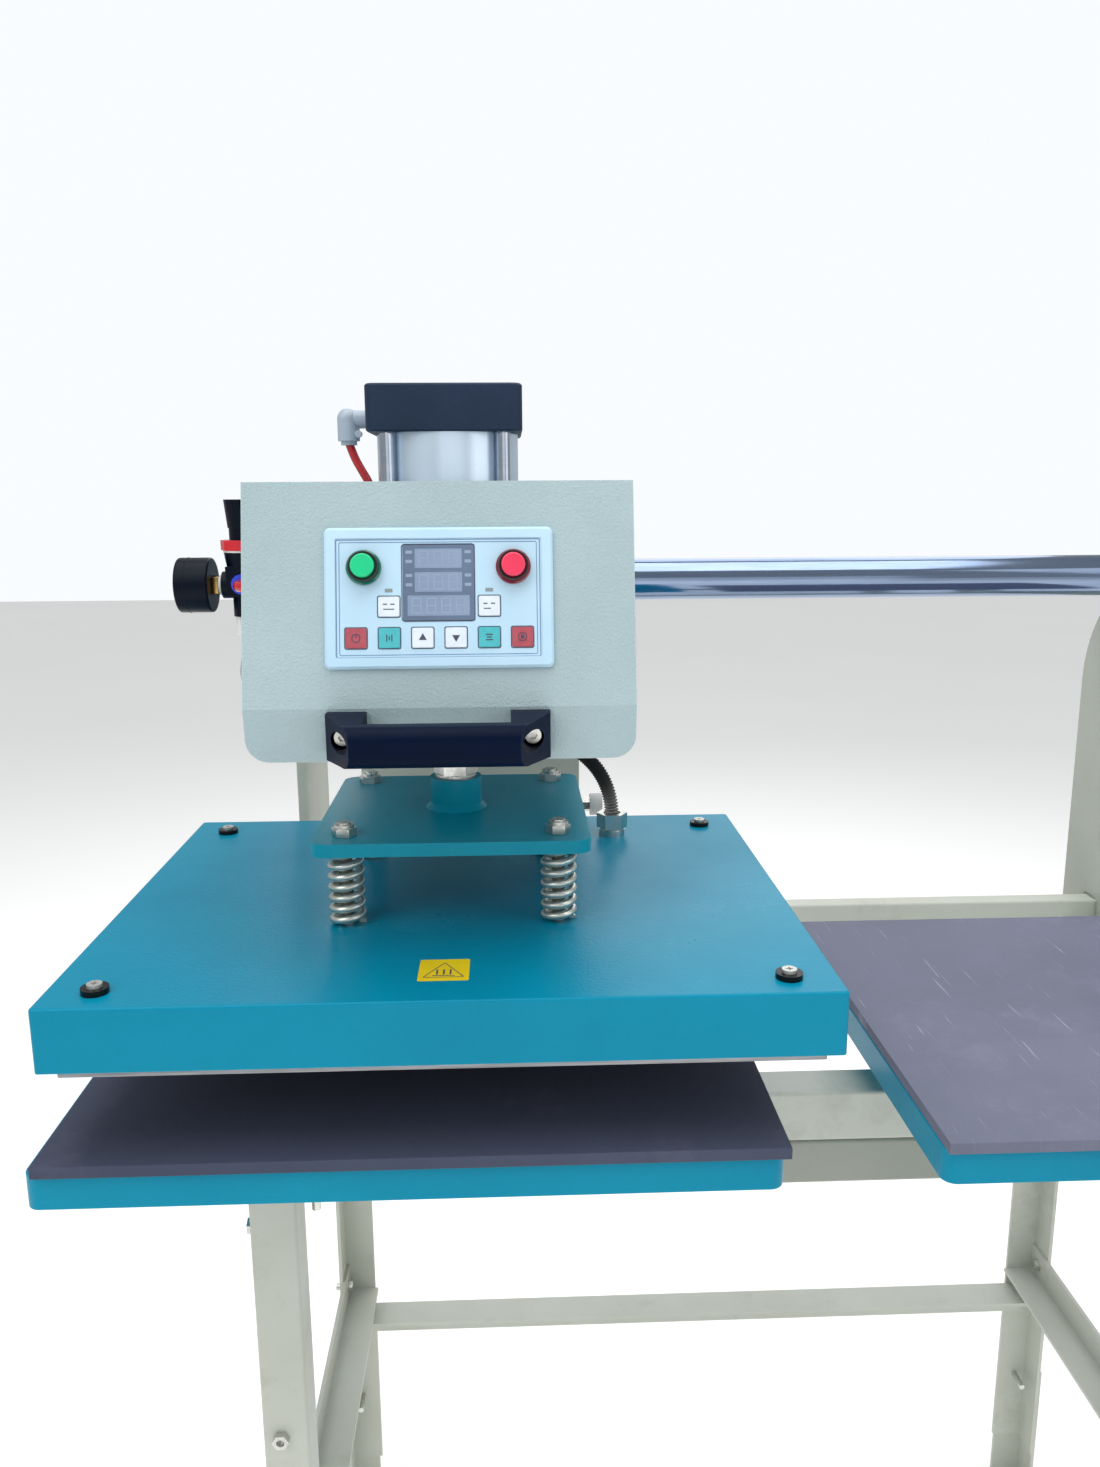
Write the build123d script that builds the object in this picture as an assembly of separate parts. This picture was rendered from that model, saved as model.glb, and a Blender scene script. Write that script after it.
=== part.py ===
"""Pneumatic double-station heat press: one press head that shuttles between two tables.

Millimetres. +Z up, +X to the operator's right, the operator stands at -Y.
The origin is on the floor, at the centre of the four anchor holes in the feet.
"""
from build123d import *
import math
import os

# Stations and shuttle travel
station_x = 306.0          # each table's centre, left and right of the machine's centre
travel_left = 27.0         # from the parked place to the left station
travel_right = 585.0       # from the parked place to the right station
head_x = -station_x + travel_left
clear = 0.3                # running gap between faces on different bodies

# Stand
stand_half_x = 462.0
stand_half_y = 228.0
leg_size = 40.0
tube_wall = 3.0
angle_wall = 4.0
leg_end_z = 76.0           # lower end of the upper legs
lower_tube_size = 33.6
lower_tube_top = 600.0
lower_angle_top = 200.0
foot_thick = 5.0
foot_length = 92.0
foot_width = 50.0
anchor_x = 395.0
anchor_y = 208.0
anchor_r = 5.5
side_brace_z = 333.0
rear_brace_z = 274.0

# Base frame and tables
rail_z = 774.0             # underside of the stand's top rails
beam_z = rail_z + leg_size
beam_height = 45.0
beam_top = beam_z + beam_height
support_height = 37.0
support_width = 40.0
support_y = (-345.0, -36.0)
rib_y = (-396.0, -36.0)
support_x = 130.0
tray_width = 504.0
tray_depth = 400.0
tray_height = 25.0
tray_wall = 2.5
tray_corner = 10.0
pad_thick = 9.0
pad_width = 500.0
pad_depth = 405.0
pad_shift = {"left": 5.0, "right": -2.0}
pad_forward = 2.5
table_y = -216.0
tray_z = beam_top + support_height
pad_z = tray_z + tray_height
pad_top = pad_z + pad_thick

# Side plates, guide bar and rear tube
side_plate_thick = 10.0
side_plate_front = 86.0
side_plate_rear = 224.0
shoulder_r = 130.0
shoulder_z = 1136.0
bar_y = 76.0
bar_z = 1270.0
bar_d = 42.0
bar_boss_r = 48.0
rear_tube_y = 146.0
rear_tube_depth = 24.0
rear_tube_z = 835.0
rear_tube_height = 50.0

# Carriage and arms
carriage_y = 126.0
carriage_thick = 10.0
carriage_half_x = 120.0
carriage_bottom = 901.0
carriage_top = 1318.0
housing_half = 42.0
housing_x = 85.0
housing_length = 60.0
bush_wall = 4.0
bush_gap = 0.05
arm_x = 88.0
arm_thick = 12.0
arm_front = -268.0
arm_z = (1225.0, 1320.0)
mount_thick = 12.0
roller_r = 14.0
roller_height = 24.0
roller_z = 858.0
roller_pin_r = 5.0
roller_bore_r = 5.05
bracket_z = 889.0
buffer_z = 1016.0
buffer_reach = 25.7

# Air cylinder and ram
press_y = -205.0
cap_size = 112.0
cap_height = 33.0
cap_corner = 9.0
cylinder_z = 1256.0
barrel_r = 53.0
bore_r = 50.0
barrel_length = 110.0
tie_pitch = 84.0
tie_r = 5.0
rod_r = 12.5
rod_thread_r = 10.0
piston_z = 1372.0
piston_thick = 20.0
spring_plate_size = 205.0
spring_plate_z = 1099.0
spring_plate_thick = 10.0
boss_r = 20.5
boss_height = 25.0
nut_flats = 30.0
nut_height = 12.0
rod_washer_r = 16.5
rod_washer_thick = 2.5
squeeze = 10.0             # travel of the spring plate down the studs

# Platen
cover_width = 520.0
cover_depth = 420.0
cover_height = 44.0
cover_wall = 2.0
cover_y = -214.0
cover_z = 997.0
cover_top = cover_z + cover_height
heater_width = 500.0
heater_depth = 400.0
heater_z = 989.0
heater_thick = 22.0
stud_x = 79.0
stud_y = 80.0
stud_r = 5.0
stud_nut_flats = 16.0
spring_r = 10.9            # mean radius of the coils
wire_r = 2.8
spring_turns = 7
screw_x = 226.0
screw_front = -400.0
screw_rear = -43.0
gland_x = 139.0
gland_y = -67.0
conduit_r = 8.0
conduit_entry = (70.0, -84.0)
press_travel = heater_z - pad_top - clear

# Head box
box_half_x = 126.0
box_wall = 1.5
box_top = 1363.0
box_top_y = -344.0
fold_y = -378.0
fold_z = 1221.0
box_bottom = 1185.5
box_bottom_y = -374.0
box_rear = 6.0
box_corner = 15.0
cable_gland_z = 1213.0

# Control panel, in the leaning face's own plane: x across, s down from its top edge
panel_width = 146.0
panel_s = (30.5, 121.0)
panel_thick = 4.0
display_half_x = 23.0
display_s = (41.7, 90.6)
button_x = 47.6
button_s = 56.5
button_ring_r = 11.2
button_cap_r = 7.6
button_sleeve = 8.2
button_length = 12.5
button_travel = 2.5
key_pitch = 21.2
key_s = 101.5
key_size = (13.5, 12.8)
key_height = 0.9
key_travel = 0.4
overlay_w = panel_thick - 0.8   # the printed overlay's face, proud of the box
mode_key_s = 81.4
mode_key_x = 32.0

# Handle
handle_screw_x = 60.0
handle_screw_z = 1205.0
handle_half_x = 71.3
handle_inner_x = 46.0
handle_nose_x = 52.0
handle_shift = -1.3
handle_z = (1189.5, 1219.0)
handle_seat_y = -386.0
grip_r = 13.0
grip_corner = 9.5
grip_z = 1203.7
grip_y = -412.0

# Regulator beside the box
regulator_x = head_x - 149.0
regulator_y = -234.0
gauge_r = 20.3
gauge_z = 1290.0
gauge_length = 24.7
gauge_back = regulator_x - 26.6
regulator_bottom = 1267.0
hose_top = 1253.0
hose_x = regulator_x - 2.8
ring_z = 1315.8
ring_height = 7.2
elbow_reach = 18.5
air_entry = (-58.0, press_y)

os.makedirs("parts", exist_ok=True)


def block(x0, x1, y0, y1, z0, z1):
    """Box between two corners."""
    centre = ((x0 + x1) / 2, (y0 + y1) / 2, (z0 + z1) / 2)
    return Pos(*centre) * Box(x1 - x0, y1 - y0, z1 - z0)


def upright(x, y, z0, z1, radius):
    """Round bar along Z."""
    return Pos(x, y, (z0 + z1) / 2) * Cylinder(radius, z1 - z0)


def lying_x(x0, x1, y, z, radius):
    """Round bar along X."""
    return Pos((x0 + x1) / 2, y, z) * Rot(0, 90, 0) * Cylinder(radius, x1 - x0)


def lying_y(x, y0, y1, z, radius):
    """Round bar along Y."""
    return Pos(x, (y0 + y1) / 2, z) * Rot(90, 0, 0) * Cylinder(radius, y1 - y0)


def hexagon(flats, height):
    """Hexagonal prism standing on the XY plane."""
    return extrude(RegularPolygon(flats / 2, 6, major_radius=False), height)


def square_tube(size_a, size_b, wall, length):
    """Hollow rectangular tube along Z, centred on X and Y, standing on the XY plane."""
    outside = RectangleRounded(size_a, size_b, wall)
    inside = RectangleRounded(size_a - 2 * wall, size_b - 2 * wall, wall / 3)
    return extrude(outside - inside, length)


def vertical_edges(shape):
    """Edges parallel to Z."""
    return shape.edges().filter_by(Axis.Z)


def group(*shapes):
    """Separate solids kept in one node."""
    return Compound(children=[s for shape in shapes for s in shape.solids()])


# ---------------------------------------------------------------- stand

def corner_angle(side, outer_x, outer_y, z0, z1):
    """Angle bar along Z whose corner is at the outer rear."""
    flange = block(outer_x - leg_size, outer_x, outer_y - angle_wall, outer_y, z0, z1)
    web = block(outer_x - angle_wall, outer_x, outer_y - leg_size, outer_y, z0, z1)
    angle = flange + web
    return angle if side > 0 else mirror(angle, Plane.YZ)


def upper_legs():
    """Square tubes at the front and angle bars at the rear."""
    legs = []
    for side in (-1, 1):
        leg = square_tube(leg_size, leg_size, tube_wall, beam_z - leg_end_z)
        legs.append(Pos(side * (stand_half_x - leg_size / 2), leg_size / 2 - stand_half_y, leg_end_z) * leg)
        legs.append(corner_angle(side, stand_half_x, stand_half_y, leg_end_z, beam_z))
    return group(*legs)


def foot_plate(side, y):
    outer = stand_half_x + angle_wall
    plate = block(outer - foot_length, outer, y - foot_width / 2, y + foot_width / 2, 0, foot_thick)
    plate = fillet(vertical_edges(plate), 6)
    plate -= upright(anchor_x, y, 0, foot_thick, anchor_r)
    return plate if side > 0 else mirror(plate, Plane.YZ)


def lower_legs():
    """Height-setting lower legs, each welded to its foot plate."""
    legs = []
    for side in (-1, 1):
        tube = square_tube(lower_tube_size, lower_tube_size, 2.5, lower_tube_top - foot_thick)
        tube = Pos(side * (stand_half_x - leg_size / 2), leg_size / 2 - stand_half_y, foot_thick) * tube
        legs.append(tube + foot_plate(side, -anchor_y))
        angle = corner_angle(side, stand_half_x + angle_wall, stand_half_y + angle_wall, foot_thick, lower_angle_top)
        legs.append(angle + foot_plate(side, anchor_y))
    return group(*legs)


def leg_braces():
    """Two side angles and the rear angle that tie the legs together."""
    outer = stand_half_x - angle_wall
    rear = stand_half_y - angle_wall
    front = leg_size - stand_half_y
    web = block(outer - angle_wall, outer, front, rear, side_brace_z, side_brace_z + leg_size)
    shelf = block(outer - leg_size, outer, front, rear, side_brace_z, side_brace_z + angle_wall)
    side_brace = web + shelf
    rear_web = block(-outer, outer, rear - angle_wall, rear, rear_brace_z, rear_brace_z + leg_size)
    rear_shelf = block(-outer, outer, rear - leg_size, rear,
                       rear_brace_z + leg_size - angle_wall, rear_brace_z + leg_size)
    return group(side_brace, mirror(side_brace, Plane.YZ), rear_web + rear_shelf)


def stand_rails():
    """Square tubes that join the tops of the legs."""
    mid_z = rail_z + leg_size / 2
    inner = stand_half_x - leg_size
    front = Rot(0, 90, 0) * square_tube(leg_size, leg_size, tube_wall, 2 * inner)
    rails = [Pos(-inner, leg_size / 2 - stand_half_y, mid_z) * front]
    half = stand_half_x - angle_wall
    rear = Rot(0, 90, 0) * square_tube(leg_size, leg_size, tube_wall, 2 * half)
    rails.append(Pos(-half, stand_half_y - angle_wall - leg_size / 2, mid_z) * rear)
    side_length = 2 * stand_half_y - 2 * leg_size - angle_wall
    for side in (-1, 1):
        rail = Rot(-90, 0, 0) * square_tube(leg_size, leg_size, tube_wall, side_length)
        x = side * (half - leg_size / 2)
        rails.append(Pos(x, leg_size - stand_half_y, mid_z) * rail)
    return group(*rails)


# ---------------------------------------------------------------- base frame and tables

def base_frame():
    """Beam under the press axis, side tubes, and the rear tube saddled over them."""
    beam = Rot(0, 90, 0) * square_tube(beam_height, leg_size, tube_wall, 2 * stand_half_x)
    beam = Pos(-stand_half_x, leg_size / 2 - stand_half_y, beam_z + beam_height / 2) * beam
    front = leg_size - stand_half_y
    inner = stand_half_x - side_plate_thick
    rear = square_tube(rear_tube_height, rear_tube_depth, 2.5, 2 * inner)
    place = Pos(-inner, rear_tube_y + rear_tube_depth / 2, rear_tube_z + rear_tube_height / 2)
    rear = place * Rot(0, 90, 0) * rear
    tubes = []
    for side in (-1, 1):
        tube = Rot(-90, 0, 0) * square_tube(leg_size, beam_height, tube_wall, side_plate_rear - front)
        x = side * (inner - leg_size / 2)
        tubes.append(Pos(x, front, beam_z + beam_height / 2) * tube)
        half = leg_size / 2
        rear -= block(x - half, x + half, rear_tube_y - 1, rear_tube_y + rear_tube_depth + 1, beam_z, beam_top)
    return group(beam, rear, *tubes)


def side_plates():
    """Upright plates whose heads lean forward round the guide bar."""
    lean = math.radians(45)
    shoulder_y = side_plate_rear - shoulder_r
    shoulder_end = (shoulder_y + shoulder_r * math.cos(lean), shoulder_z + shoulder_r * math.sin(lean))
    shoulder_mid = (shoulder_y + shoulder_r * math.cos(lean / 2), shoulder_z + shoulder_r * math.sin(lean / 2))
    boss_start = (bar_y + bar_boss_r * math.cos(lean), bar_z + bar_boss_r * math.sin(lean))
    boss_mid_angle = math.radians(122)
    boss_mid = (bar_y + bar_boss_r * math.cos(boss_mid_angle), bar_z + bar_boss_r * math.sin(boss_mid_angle))
    chin = math.radians(200)
    boss_end = (bar_y + bar_boss_r * math.cos(chin), bar_z + bar_boss_r * math.sin(chin))
    throat_z = boss_end[1] - (side_plate_front - boss_end[0]) / math.tan(math.radians(20))
    outline = Polyline((side_plate_front, throat_z), (side_plate_front, beam_z),
                       (side_plate_rear, beam_z), (side_plate_rear, shoulder_z))
    outline += ThreePointArc((side_plate_rear, shoulder_z), shoulder_mid, shoulder_end)
    outline += Line(shoulder_end, boss_start)
    outline += ThreePointArc(boss_start, boss_mid, boss_end)
    outline += Line(boss_end, (side_plate_front, throat_z))
    face = make_face(outline)
    face -= Pos(bar_y, bar_z) * Circle(bar_d / 2)
    plate = extrude(Plane.YZ * face, side_plate_thick)
    inner = stand_half_x - side_plate_thick
    return group(Pos(-stand_half_x, 0, 0) * plate, Pos(inner, 0, 0) * plate)


def guide_bar():
    return lying_x(-stand_half_x, stand_half_x, bar_y, bar_z, bar_d / 2)


def bar_end_caps():
    """Washer and socket screw that hold the bar in each side plate."""
    caps = []
    for side in (-1, 1):
        x0 = side * stand_half_x
        x1 = side * (stand_half_x + 5)
        x2 = side * (stand_half_x + 13)
        washer = lying_x(min(x0, x1), max(x0, x1), bar_y, bar_z, bar_d / 2 + 7)
        head = lying_x(min(x1, x2), max(x1, x2), bar_y, bar_z, 9)
        socket = Pos(side * (stand_half_x + 8), bar_y, bar_z) * Rot(0, 90 * side, 0) * hexagon(10, 6)
        caps.append(washer + head - socket)
    return group(*caps)


def table_supports():
    """Bars under each tray, across the press beam, each with a rib up to the tray's top sheet."""
    bars = []
    rib_top = tray_z + tray_height - tray_wall
    for side in (-1, 1):
        for offset in (-support_x, support_x):
            x = side * station_x + offset
            tube = Rot(-90, 0, 0) * square_tube(support_width, support_height, 2.5, support_y[1] - support_y[0])
            bars.append(Pos(x, support_y[0], beam_top + support_height / 2) * tube)
            bars.append(block(x - 3, x + 3, *rib_y, tray_z, rib_top))
    return group(*bars)


def tray(side):
    """Folded sheet pan, open downwards."""
    blank = extrude(RectangleRounded(tray_width, tray_depth, tray_corner), tray_height)
    blank = fillet(blank.edges().group_by(Axis.Z)[-1], 1.5)
    hollow = extrude(RectangleRounded(tray_width - 2 * tray_wall, tray_depth - 2 * tray_wall,
                                      tray_corner - tray_wall), tray_height - tray_wall)
    return Pos(side * station_x, table_y, tray_z) * (blank - hollow)


def trays():
    return group(tray(-1), tray(1))


def pad(side_name):
    side = -1 if side_name == "left" else 1
    x = side * station_x + pad_shift[side_name]
    board = extrude(RectangleRounded(pad_width, pad_depth, 3), pad_thick)
    return Pos(x, table_y - pad_forward, pad_z) * board


def bolt(length, head_flats=13.0, shank_r=4.0, head_height=5.5):
    """Hexagon bolt pointing down -Z from the origin, its head above."""
    return hexagon(head_flats, head_height) + upright(0, 0, -length, 0, shank_r)


def frame_bolts():
    """Leg lock bolts, brace bolts and beam bolts; each shank stands proud of what it clamps."""
    bolts = []
    inner_x = stand_half_x - leg_size / 2
    front_face = -stand_half_y
    for side in (-1, 1):
        out = Rot(0, 90 * side, 0)
        side_head = Pos(side * stand_half_x, -anchor_y, 735) * out * hexagon(13, 6)
        lock_head = Pos(side * (inner_x + 4), front_face, 537) * Rot(90, 0, 0) * hexagon(13, 6.5)
        lock_dimple = Pos(side * (inner_x + 4), front_face - 4.5, 537) * Rot(90, 0, 0) * Cylinder(3.6, 5)
        bolts += [side_head, lock_head - lock_dimple]
        brace_x = side * (stand_half_x - 2 * angle_wall)
        brace_bolt = Pos(brace_x, 205, side_brace_z + 21) * Rot(0, -90 * side, 0)
        head = brace_bolt * hexagon(13, 6)
        tip = lying_x(*sorted((side * stand_half_x, side * (stand_half_x + 7))), 205, side_brace_z + 21, 4)
        bolts += [head, tip]
        leg_x = side * (inner_x + 2)
        rear_face = stand_half_y + angle_wall
        bolts.append(Pos(leg_x, rear_face, 173) * Rot(-90, 0, 0) * hexagon(13, 5.5))
        bolts.append(lying_y(leg_x, stand_half_y - angle_wall - 26, stand_half_y - angle_wall, 173, 3.5))
        for y in (leg_size / 2 - stand_half_y, stand_half_y - angle_wall - leg_size / 2):
            nut = Pos(side * 408, y, rail_z - 8) * hexagon(13, 8)
            bolts.append(nut + upright(side * 408, y, rail_z - 24, rail_z - 8, 4))
    return group(*bolts)


# ---------------------------------------------------------------- carriage and arms

def carriage_plate():
    plate = block(head_x - carriage_half_x, head_x + carriage_half_x, carriage_y, carriage_y + carriage_thick,
                  carriage_bottom, carriage_top)
    return fillet(plate.edges().filter_by(Axis.Y), 8)


def bearing_housings():
    """Two blocks on the guide bar, each with its bush."""
    housings = []
    bush_r = bar_d / 2 + bush_gap + bush_wall
    for side in (-1, 1):
        x0 = head_x + side * housing_x - housing_length / 2
        x1 = x0 + housing_length
        body = block(x0, x1, bar_y - housing_half, carriage_y, bar_z - housing_half, bar_z + housing_half)
        body = fillet(body.edges().filter_by(Axis.X).group_by(Axis.Y)[0], 10)
        housings.append(body - lying_x(x0 - 1, x1 + 1, bar_y, bar_z, bush_r))
        bush = lying_x(x0, x1, bar_y, bar_z, bush_r)
        housings.append(bush - lying_x(x0 - 1, x1 + 1, bar_y, bar_z, bar_d / 2 + bush_gap))
    return group(*housings)


def head_arms():
    """Two arm plates from the bearings to the cylinder, and the plate that the cylinder stands on."""
    rear = bar_y - housing_half
    arms = [block(head_x + x, head_x + x + arm_thick, arm_front, rear, *arm_z)
            for x in (-arm_x - arm_thick, arm_x)]
    shelf = block(head_x - arm_x, head_x + arm_x, arm_front, arm_front + 128,
                  cylinder_z - mount_thick, cylinder_z)
    shelf -= upright(head_x, press_y, cylinder_z - 2 * mount_thick, cylinder_z, 20)
    return arms[0] + arms[1] + shelf


def roller_places():
    """Axes of the front and rear guide rollers, either side of the rear tube."""
    reach = roller_r + clear
    return {"front": rear_tube_y - reach, "rear": rear_tube_y + rear_tube_depth + reach}


def roller_bracket():
    """Shelf under the carriage plate with the two roller pins."""
    places = roller_places()
    shelf = block(head_x - 35, head_x + 35, carriage_y, places["rear"] + 16, bracket_z, carriage_bottom)
    shelf += block(head_x - 35, head_x + 35, carriage_y - 10, carriage_y, bracket_z, carriage_bottom + 40)
    for y in places.values():
        shelf += upright(head_x, y, roller_z - 5, bracket_z, roller_pin_r)
        shelf += upright(head_x, y, roller_z - 5, roller_z - 1, roller_pin_r + 3)
        shelf += upright(head_x, y, roller_z + roller_height + 1, bracket_z, roller_pin_r + 3)
    return shelf


def guide_roller(name):
    y = roller_places()[name]
    wheel = upright(head_x, y, roller_z, roller_z + roller_height, roller_r)
    wheel = fillet(wheel.edges().filter_by(GeomType.CIRCLE), 1.5)
    return wheel - upright(head_x, y, roller_z - 1, roller_z + roller_height + 1, roller_bore_r)


def stop_buffers():
    """Threaded stud, lock nut and conical rubber stop on each edge of the carriage plate."""
    buffers = []
    y = carriage_y + carriage_thick / 2
    for side in (-1, 1):
        edge = Pos(head_x + side * carriage_half_x, y, buffer_z) * Rot(0, 90 * side, 0)
        stud = edge * Pos(0, 0, 6) * Cylinder(4, 12)
        nut = edge * Pos(0, 0, 4) * hexagon(14, 8)
        flare = edge * Pos(0, 0, 12 + (buffer_reach - 12) / 2) * Cone(8, 12, buffer_reach - 12)
        buffers.append(stud + nut + flare)
    return group(*buffers)


# ---------------------------------------------------------------- air cylinder and ram

def cylinder_cap(z):
    cap = Pos(head_x, press_y, z) * extrude(RectangleRounded(cap_size, cap_size, cap_corner), cap_height)
    return chamfer(cap.edges().group_by(Axis.Z)[0] + cap.edges().group_by(Axis.Z)[-1], 1.2)


def cylinder_caps():
    lower = cylinder_cap(cylinder_z) - upright(head_x, press_y, cylinder_z - 1, cylinder_z + cap_height + 1,
                                               rod_r + bush_gap)
    upper = cylinder_cap(cylinder_z + cap_height + barrel_length)
    return group(lower, upper)


def cylinder_barrel():
    z0 = cylinder_z + cap_height
    tube = upright(head_x, press_y, z0, z0 + barrel_length, barrel_r)
    return tube - upright(head_x, press_y, z0 - 1, z0 + barrel_length + 1, bore_r)


def tie_rods():
    """Four rods beside the barrel, each with a nut sunk in the arm plate's shelf side."""
    z0 = cylinder_z + cap_height
    rods = []
    for dx in (-tie_pitch / 2, tie_pitch / 2):
        for dy in (-tie_pitch / 2, tie_pitch / 2):
            rods.append(upright(head_x + dx, press_y + dy, z0, z0 + barrel_length, tie_r))
    return group(*rods)


def piston_rod():
    """Rod with a threaded end in the boss, and the piston."""
    boss_top = spring_plate_z + spring_plate_thick + boss_height
    rod = upright(head_x, press_y, boss_top, piston_z, rod_r)
    rod += upright(head_x, press_y, spring_plate_z, boss_top, rod_thread_r)
    return rod + upright(head_x, press_y, piston_z, piston_z + piston_thick, bore_r - bush_gap)


def rod_nut():
    """Lock nut with its washer, screwed down on the boss."""
    z = spring_plate_z + spring_plate_thick + boss_height
    top = z + rod_washer_thick + nut_height
    nut = upright(head_x, press_y, z, z + rod_washer_thick, rod_washer_r)
    nut += Pos(head_x, press_y, z + rod_washer_thick) * hexagon(nut_flats, nut_height)
    return nut - upright(head_x, press_y, z - 1, top + 1, rod_r)


def stud_places():
    return [(head_x + sx * stud_x, press_y + sy * stud_y) for sx in (-1, 1) for sy in (-1, 1)]


def spring_plate():
    """Plate that pushes on the four springs, with the welded boss that takes the rod."""
    plate = extrude(RectangleRounded(spring_plate_size, spring_plate_size, 12), spring_plate_thick)
    plate = Pos(head_x, press_y, spring_plate_z) * plate
    top = spring_plate_z + spring_plate_thick
    plate += upright(head_x, press_y, top, top + boss_height, boss_r)
    plate += Pos(head_x, press_y, top + 2) * Cone(boss_r + 4, boss_r, 4)
    plate -= upright(head_x, press_y, spring_plate_z - 1, top + boss_height + 1, rod_thread_r)
    for x, y in stud_places():
        plate -= upright(x, y, spring_plate_z - 1, top + 1, stud_r + clear)
    return plate


# ---------------------------------------------------------------- platen

def platen_cover():
    """Folded steel pan over the heater, with holes for studs, screws and the gland."""
    pan = block(-cover_width / 2, cover_width / 2, -cover_depth / 2, cover_depth / 2, 0, cover_height)
    pan = fillet(vertical_edges(pan), 3)
    pan = fillet(pan.edges().group_by(Axis.Z)[-1], 2)
    pan -= block(cover_wall - cover_width / 2, cover_width / 2 - cover_wall,
                 cover_wall - cover_depth / 2, cover_depth / 2 - cover_wall, 0, cover_height - cover_wall)
    pan = Pos(head_x, cover_y, cover_z) * pan
    holes = [(x, y, stud_r + 0.5) for x, y in stud_places()]
    holes += [(x, y, 3) for x, y in screw_places()]
    holes.append((head_x + gland_x, gland_y, conduit_r - 1))
    for x, y, radius in holes:
        pan -= upright(x, y, cover_top - 2 * cover_wall, cover_top + 1, radius)
    return pan


def heater_plate():
    """Cast aluminium plate with the cast-in element's two terminal bosses."""
    plate = block(-heater_width / 2, heater_width / 2, -heater_depth / 2, heater_depth / 2, 0, heater_thick)
    plate = Pos(head_x, cover_y, heater_z) * fillet(vertical_edges(plate), 2)
    top = heater_z + heater_thick
    for dx in (-18, 18):
        plate += upright(head_x + gland_x + dx, gland_y - 30, top, top + 8, 5)
    return plate


def insulation_blanket():
    z0 = heater_z + heater_thick + clear
    z1 = cover_top - cover_wall - clear
    mat = block(head_x - 249, head_x + 249, cover_y - 199, cover_y + 199, z0, z1)
    for x, y in stud_places():
        mat -= upright(x, y, z0 - 1, z1 + 1, stud_r + 2)
    for x, y in screw_places():
        mat -= upright(x, y, z0 - 1, z1 + 1, 5)
    terminal_x = head_x + gland_x
    mat -= block(terminal_x - 28, terminal_x + 28, gland_y - 42, gland_y + 12, z0 - 1, z1 + 1)
    return mat


def spring_studs():
    """Studs up from the heater plate, each with a nylon lock nut above the spring plate."""
    nut_z = spring_plate_z + spring_plate_thick + clear
    studs = []
    for x, y in stud_places():
        stud = upright(x, y, heater_z + heater_thick, nut_z + 10.2, stud_r)
        nut = Pos(x, y, nut_z) * hexagon(stud_nut_flats, 6.2)
        collar = upright(x, y, nut_z + 6.2, nut_z + 8.8, stud_nut_flats / 2 - 0.6)
        studs.append(stud + nut + collar)
    return group(*studs)


def coil_spring(x, y):
    """Helical spring between the cover and the spring plate, ends ground flat."""
    gap = 0.2
    low = cover_top + gap
    high = spring_plate_z - gap
    height = high - low
    path = Helix(pitch=(height - 2 * wire_r + 2) / spring_turns, height=height - 2 * wire_r + 2, radius=spring_r)
    path = Pos(x, y, low + wire_r - 1) * path
    section = Plane(origin=path @ 0, z_dir=path % 0) * Circle(wire_r)
    coil = sweep(section, path=path)
    reach = 2 * spring_r + 4 * wire_r
    return coil & (Pos(x, y, (low + high) / 2) * Box(reach, reach, height))


def springs():
    return group(*[coil_spring(x, y) for x, y in stud_places()])


def screw_places():
    return [(head_x + sx * screw_x, y) for sx in (-1, 1) for y in (screw_front, screw_rear)]


def cover_screws():
    """Pan-head screws on thick heat-resisting washers."""
    screws = []
    for x, y in screw_places():
        washer = upright(x, y, cover_top, cover_top + 4, 9)
        head = upright(x, y, cover_top + 4, cover_top + 6.4, 5)
        head -= block(x - 2.4, x + 2.4, y - 0.6, y + 0.6, cover_top + 5.2, cover_top + 7)
        head -= block(x - 0.6, x + 0.6, y - 2.4, y + 2.4, cover_top + 5.2, cover_top + 7)
        shank = upright(x, y, heater_z + heater_thick, cover_top, 2.5)
        screws.append(washer + head + shank)
    return group(*screws)


def conduit_gland():
    x = head_x + gland_x
    ring = upright(x, gland_y, cover_top, cover_top + 5, 12)
    neck = upright(x, gland_y, cover_top + 5, cover_top + 7, 10.5)
    nut = Pos(x, gland_y, cover_top + 7) * hexagon(25, 14)
    tail = upright(x, gland_y, cover_top - 8, cover_top, conduit_r - 1.2)
    gland = ring + neck + nut + tail
    gland -= upright(x, gland_y, cover_top + 15, cover_top + 22, conduit_r)
    return gland - upright(x, gland_y, cover_top - 9, cover_top + 16, conduit_r - 3)


def conduit():
    """Corrugated sleeve for the heater leads, from the gland up into the box."""
    x = head_x + gland_x
    entry_x = head_x + conduit_entry[0]
    points = [(x, gland_y, cover_top + 15), (x, gland_y, 1100),
              (entry_x, conduit_entry[1], 1150), (entry_x, conduit_entry[1], 1192)]
    radii = corner_radii(points)
    print("conduit radii", [round(r, 1) for r in radii])
    return tube_along(points, conduit_r, radii)


def corner_radii(points):
    """Arc at each corner: 0.45 of the shorter run over the tangent of half the turn."""
    radii = []
    for before, corner, after in zip(points, points[1:], points[2:]):
        run_in = Vector(*corner) - Vector(*before)
        run_out = Vector(*after) - Vector(*corner)
        half_turn = math.radians(run_in.get_angle(run_out)) / 2
        radii.append(0.45 * min(run_in.length, run_out.length) / math.tan(half_turn))
    return radii


def tube_along(points, radius, radii):
    path = FilletPolyline(*points, radius=radii)
    section = Plane(origin=path @ 0, z_dir=path % 0) * Circle(radius)
    return sweep(section, path=path)


# ---------------------------------------------------------------- head box

def box_side_outline(inset):
    """The box's side profile in the YZ plane, moved in by the wall on the front faces."""
    return [(box_rear, box_bottom + inset), (box_bottom_y + inset, box_bottom + inset),
            (fold_y + inset, fold_z), (box_top_y + inset, box_top - inset), (box_rear, box_top - inset)]


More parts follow.
